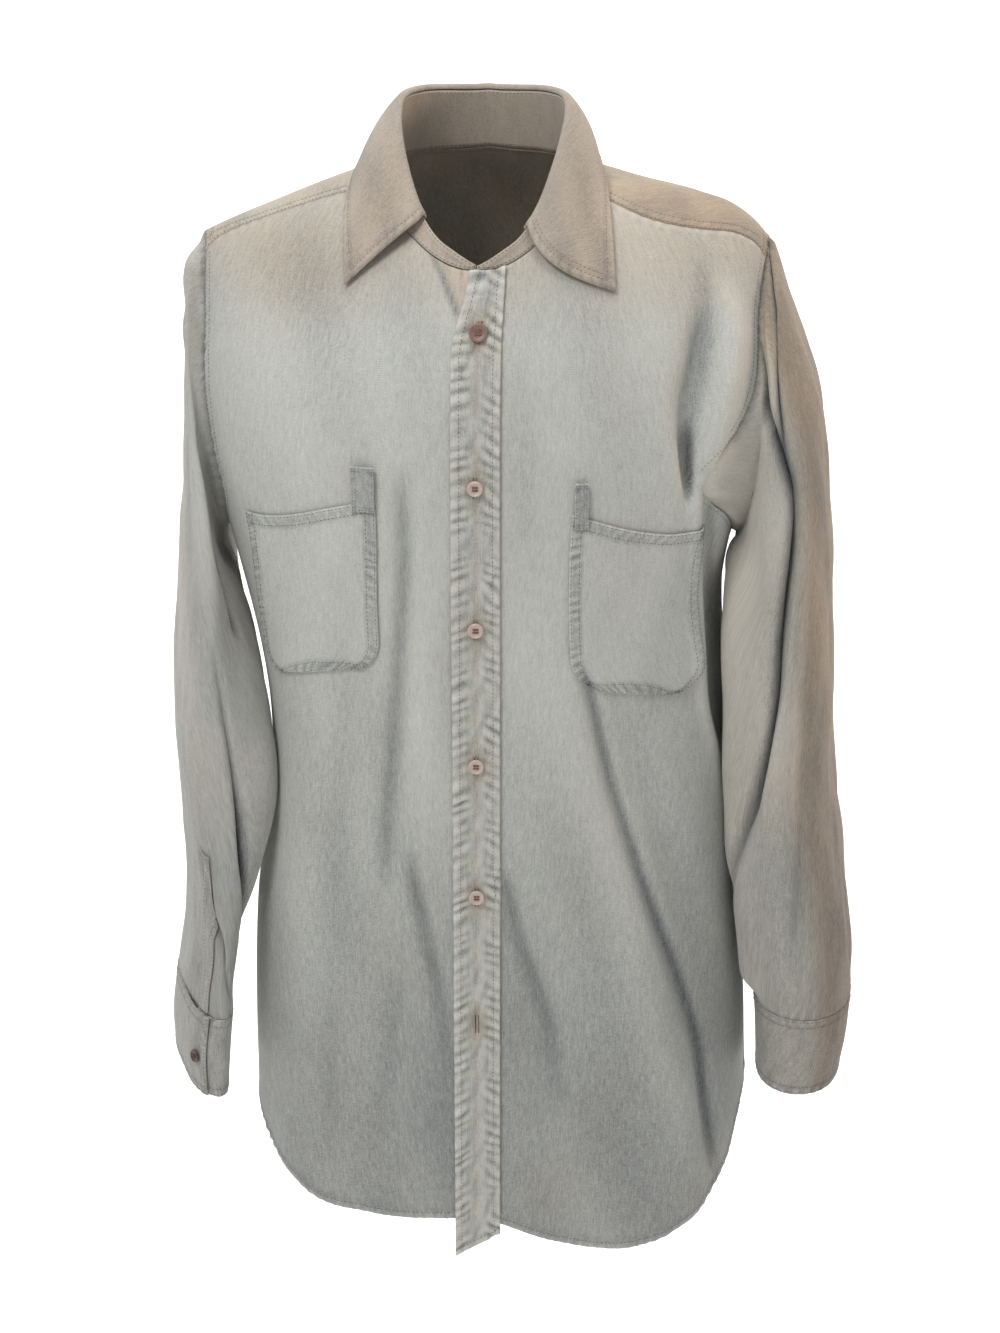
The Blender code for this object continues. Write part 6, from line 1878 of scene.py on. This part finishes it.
@dataclass
class Collar:
    """The collar stand round the neck, and the leaf that turns over its top and falls to its two points."""

    shop: Workshop
    fine: int = 7
    # angle round the neck from the front, the stand's height, how far its top leans in
    stand_table: Array = table((0, 0.0030, 0.001), (5, 0.0066, 0.001), (14, 0.0112, 0.002),
                               (26, 0.0130, 0.005), (42, 0.0185, 0.008), (60, 0.0300, 0.010),
                               (90, 0.0450, 0.011), (130, 0.0460, 0.010), (180, 0.0430, 0.008))
    leaf_start: tuple[int, int] = (19, 34)
    stand_ends: tuple[float, float] = (-0.0012, -0.0005)
    roll: float = 0.0030
    leaf_lift: float = 0.0040
    # share of the way along the leaf from its right point to its left, plan place of its outer edge
    leaf_edge: Array = table((0.0, -0.0930, -0.0830), (0.12, -0.0960, -0.0500), (0.24, -0.0930, -0.0100),
                             (0.36, -0.0760, 0.0450), (0.50, 0.0, 0.0760), (0.64, 0.0700, 0.0450),
                             (0.76, 0.0850, -0.0100), (0.88, 0.0910, -0.0500), (1.0, 0.0955, -0.0840))
    leaf_swell: tuple[float, float, float] = (-0.0085, -0.0030, -0.0060)

    def neckline(self) -> Array:
        """Points of the neckline on the body, from the right front's edge round the back to the left's."""
        pattern = self.shop.pattern
        form = pattern.form
        cols = np.linspace(0, pattern.neck_cols, pattern.neck_cols * self.fine + 1)
        starts = (self.stand_ends[0], pattern.front_edge(Side.LEFT, np.array(pattern.open_top)))
        fronts = []
        for side, start in zip(Side, starts):
            turn = pattern.neck_turn_at(start)
            turn = turn + (side.value * pattern.neck_side - turn) * cols / pattern.neck_cols
            z, phi = form.height_at(*pattern.neck_plan(turn))
            fronts.append(form.on(phi, z, False)[0])
        phi, z, back = pattern.neck_back(np.linspace(0, pattern.back_neck_cols,
                                                     pattern.back_neck_cols * self.fine + 1))
        behind = form.on_yoke(phi, form.over_angle(phi, z, back))[0]
        foot = np.concatenate([fronts[0], behind[1:-1], fronts[1][::-1]])
        past_edge = np.linspace(foot[-1, 0], self.stand_ends[1], 3 * self.fine + 1)[1:]
        z, phi = form.height_at(*pattern.neck_plan(pattern.neck_turn_at(past_edge)))
        return np.concatenate([foot, form.on(phi, z, False)[0]])

    def build(self) -> None:
        """Make the stand and the leaf."""
        shop, pattern = self.shop, self.shop.pattern
        foot = self.neckline()
        turn = np.degrees(np.arctan2(np.abs(foot[:, 0]), -(foot[:, 1] - pattern.neck_y)))
        height, lean = (curve(turn, self.stand_table[:, 0], self.stand_table[:, k]) for k in (1, 2))
        inwards = np.array([0.0, pattern.neck_y, 0.0]) - foot
        inwards[:, 2] = 0
        inwards = unit(inwards)
        top = foot + inwards * lean[:, None] + np.array([0, 0, 1.0]) * height[:, None]
        rise = unit(top - foot)
        foot = foot + rise * (shop.cloth / 2 + 0.0003)
        normal = unit(np.cross(np.gradient(foot, axis=0), rise))
        normal *= np.where((normal * inwards).sum(axis=1, keepdims=True) > 0, -1.0, 1.0)
        share = np.linspace(0, 1, 14)[:, None, None]
        grid = foot[None] * (1 - share) + top[None] * share
        stand = Cloth(grid, np.broadcast_to(normal, grid.shape))
        stand.warm += 0.10
        stand.fade += 0.08
        stand.fade += 0.04 * ripple(stand.beside(Edge.TOP), stand.inset(Edge.TOP), 0.02, 0.05, 181)
        for edge in (Edge.TOP, Edge.FOOT):
            stand.turn_in(edge, 0.004, 0.0002)
        stand.face_again()
        stand.lay("collar_stand_cloth", "collar_stand", shop.doubled_cloth, shop.finishes.collar)
        sewn = Stitching(shop.thread)
        for edge in (Edge.TOP, Edge.FOOT):
            line, facing = stand.beside_edge(edge, shop.edge_row)
            for turned in (facing, -facing):
                sewn.sew((line, turned), shop.on_double)
        threads = sewn.finish("collar_stand_stitching", "collar_stand", shop.finishes.thread)
        stand.declare("hung", ("yoke_cloth", "front_right_cloth", "front_left_cloth"), (threads,))
        keep = slice(self.leaf_start[0], len(top) - self.leaf_start[1])
        self.leaf(top[keep], -inwards[keep], rise[keep], -normal[keep])

    def leaf(self, edge: Array, out: Array, up: Array, start_normal: Array) -> None:
        """The leaf: a tight roll over the stand's top, then a fall to the edge's plan line, with a swell.

        Args:
            edge: points of the stand's top under the leaf.
            out: level directions away from the neck there.
            up: directions up the stand.
            start_normal: the leaf's normals at its first row.
        """
        shop, form = self.shop, self.shop.pattern.form
        length = lengths_along(edge)
        along = length / length[-1]
        plan = np.stack([curve(along, self.leaf_edge[:, 0], self.leaf_edge[:, k]) for k in (1, 2)], axis=1)
        z, phi = form.height_at(plan[:, 0], plan[:, 1])
        fall, fall_normal = form.on_yoke(phi, form.over_angle(phi, z, plan[:, 1] > form.ridge_y))
        fall = fall + fall_normal * self.leaf_lift
        base = edge + up * shop.pattern.seam * 2
        bend = np.radians(np.linspace(0, 165, 14))[:, None, None]
        over = base + out * self.roll * (1 - np.cos(bend)) + up * self.roll * np.sin(bend)
        t = np.linspace(0, 1, 46)[1:, None, None]
        swell = np.clip((along - 0.84) / 0.16, 0, 1)[:, None] ** 2 * np.array(self.leaf_swell)
        down = over[-1] + (fall - over[-1]) * t + (out * 0.004 + swell) * np.sin(math.pi * t ** 0.8)
        grid = np.concatenate([over, down])
        for _ in range(6):
            grid[9:-30] += 0.5 * ((grid[8:-31] + grid[10:-29]) / 2 - grid[9:-30])
        cloth = Cloth(grid, np.broadcast_to(out, grid.shape))
        cloth.normals[:8] = start_normal + (out - start_normal) * np.linspace(0, 1, 8)[:, None, None]
        cloth.face_again()
        if (cloth.normals[-2] * out).sum() < 0:
            cloth.normals = -cloth.normals
        cloth.warm += 0.14 + 0.12 * ripple(cloth.points[..., 0], cloth.points[..., 1], 0.05, 0.06, 191)
        cloth.fade -= 0.03
        cloth.fade += 0.07 * ripple(cloth.points[..., 0], cloth.points[..., 1], 0.03, 0.05, 193)
        outer_edges = (Edge.FOOT, Edge.FIRST, Edge.LAST)
        for outer in outer_edges:
            cloth.turn_in(outer, 0.0065, 0.0003)
            cloth.rope(outer, 0.006, 0.0080, 0.0004, 195 + len(outer.value), 0.6, 0.12)
        cloth.face_again()
        cloth.lay("collar_leaf_cloth", "collar_leaf", shop.doubled_cloth, shop.finishes.collar)
        threads = shop.sew(cloth, "collar_leaf", shop.on_double, shop.finishes.warm_thread,
                           [(outer, 0.0058, 0.005) for outer in outer_edges] + [(Edge.LAST, 0.0095, 0.008)])
        cloth.declare("folded", ("collar_stand_cloth", "yoke_cloth"), (threads,))


@dataclass
class Studio:
    """The pale floor, the soft lights and the camera."""

    floor_z: float = -1.65
    pitch: float = math.radians(21.5)
    yaw: float = math.radians(3.0)
    focal: float = 2700.0
    image_height: float = 1333.0
    distance: float = 1.951
    height: float = 0.376
    shift_pixels: float = 15.0

    def floor(self) -> None:
        """A floor that curves up into a back wall: level, then a quarter circle, then upright."""
        width, front, back, radius, top = 7.0, -4.5, 3.2, 1.6, 3.5
        turn = np.linspace(0, math.pi / 2, 17)
        y = np.concatenate([[front], back - radius + radius * np.sin(turn), [back]])
        z = np.concatenate([[0], radius * (1 - np.cos(turn)), [top - self.floor_z]]) + self.floor_z
        x = np.linspace(-width, width, 9)
        points = np.stack(np.broadcast_arrays(x[None, :], y[:, None], z[:, None]), axis=-1)
        item = mesh_object("studio_floor", points, [grid_faces(len(y), len(x), False)], Paper().dress())

    def lamp(self, name: str, place: tuple[float, float, float], aim: tuple[float, float, float], size: float,
             power: float, colour: tuple[float, float, float] = (1, 1, 1)) -> None:
        """A square soft light at a place, aimed at a point."""
        light = bpy.data.lights.new(name, "AREA")
        light.shape, light.size, light.energy, light.color = "SQUARE", size, power, colour
        item = bpy.data.objects.new(name, light)
        away = unit(np.array(place) - np.array(aim))
        side = unit(np.cross((0.0, 0.0, 1.0) if abs(away[2]) < 0.99 else (0.0, 1.0, 0.0), away))
        turn = np.eye(4)
        turn[:3, :] = np.stack([side, np.cross(away, side), away, place], axis=1)
        item.matrix_world = Matrix(turn.tolist())
        bpy.context.scene.collection.objects.link(item)

    def camera(self) -> None:
        """The camera: a little to the wearer's left, looking down, its place found from its angles."""
        lens = bpy.data.cameras.new("camera")
        lens.sensor_fit, lens.sensor_height = "VERTICAL", 36.0
        lens.lens = 36.0 * self.focal / self.image_height
        item = bpy.data.objects.new("camera", lens)
        a, p = self.yaw, self.pitch
        forward = np.array([-math.sin(a) * math.cos(p), math.cos(a) * math.cos(p), -math.sin(p)])
        right = np.array([math.cos(a), math.sin(a), 0.0])
        depth = self.distance * math.cos(p) + self.height * math.sin(p)
        place = np.array([self.distance * math.sin(a), -self.distance * math.cos(a), self.height])
        place = place + right * self.shift_pixels * depth / self.focal
        turn = np.eye(4)
        turn[:3, :] = np.stack([right, np.cross(right, forward), -forward, place], axis=1)
        item.matrix_world = Matrix(turn.tolist())
        bpy.context.scene.collection.objects.link(item)
        bpy.context.scene.camera = item

    def build(self) -> None:
        """Set the floor, the lights, the sky and the camera."""
        self.floor()
        self.lamp("key", (-0.95, -1.6, 1.9), (0, 0, -0.25), 0.9, 36)
        self.lamp("over", (0.1, -0.3, 2.0), (0, 0, -0.4), 1.2, 20)
        self.lamp("rim", (2.1, 0.5, 0.5), (0.2, 0, -0.35), 0.6, 16, (1.0, 0.72, 0.50))
        self.lamp("behind", (0.0, 1.6, 1.6), (0, 3.2, -0.6), 2.5, 50)
        world = bpy.data.worlds.new("studio")
        bpy.context.scene.world = world
        world.use_nodes = True
        world.node_tree.nodes["Background"].inputs["Color"].default_value = (0.96, 0.98, 1.0, 1)
        world.node_tree.nodes["Background"].inputs["Strength"].default_value = 0.32
        bpy.context.scene.view_settings.view_transform = "Standard"
        self.camera()


def main() -> None:
    """Build the shirt piece by piece, then the studio."""
    logging.basicConfig(level=logging.INFO, format="%(name)s: %(message)s")
    shop = Workshop(Pattern(), Finishes(), Thread("thread"))
    Back(shop).build()
    Fronts(shop).build()
    Placket(shop).build()
    Collar(shop).build()
    Sleeve(shop, Side.RIGHT, SLEEVE_RIGHT, CUFF_RIGHT, CREASES_RIGHT, PAINTED_SHADE_RIGHT, 3, 0.14).build()
    Sleeve(shop, Side.LEFT, SLEEVE_LEFT, CUFF_LEFT, CREASES_LEFT, PAINTED_SHADE_LEFT, 17, 0.95).build()
    Studio().build()


if __name__ == "__main__":
    main()
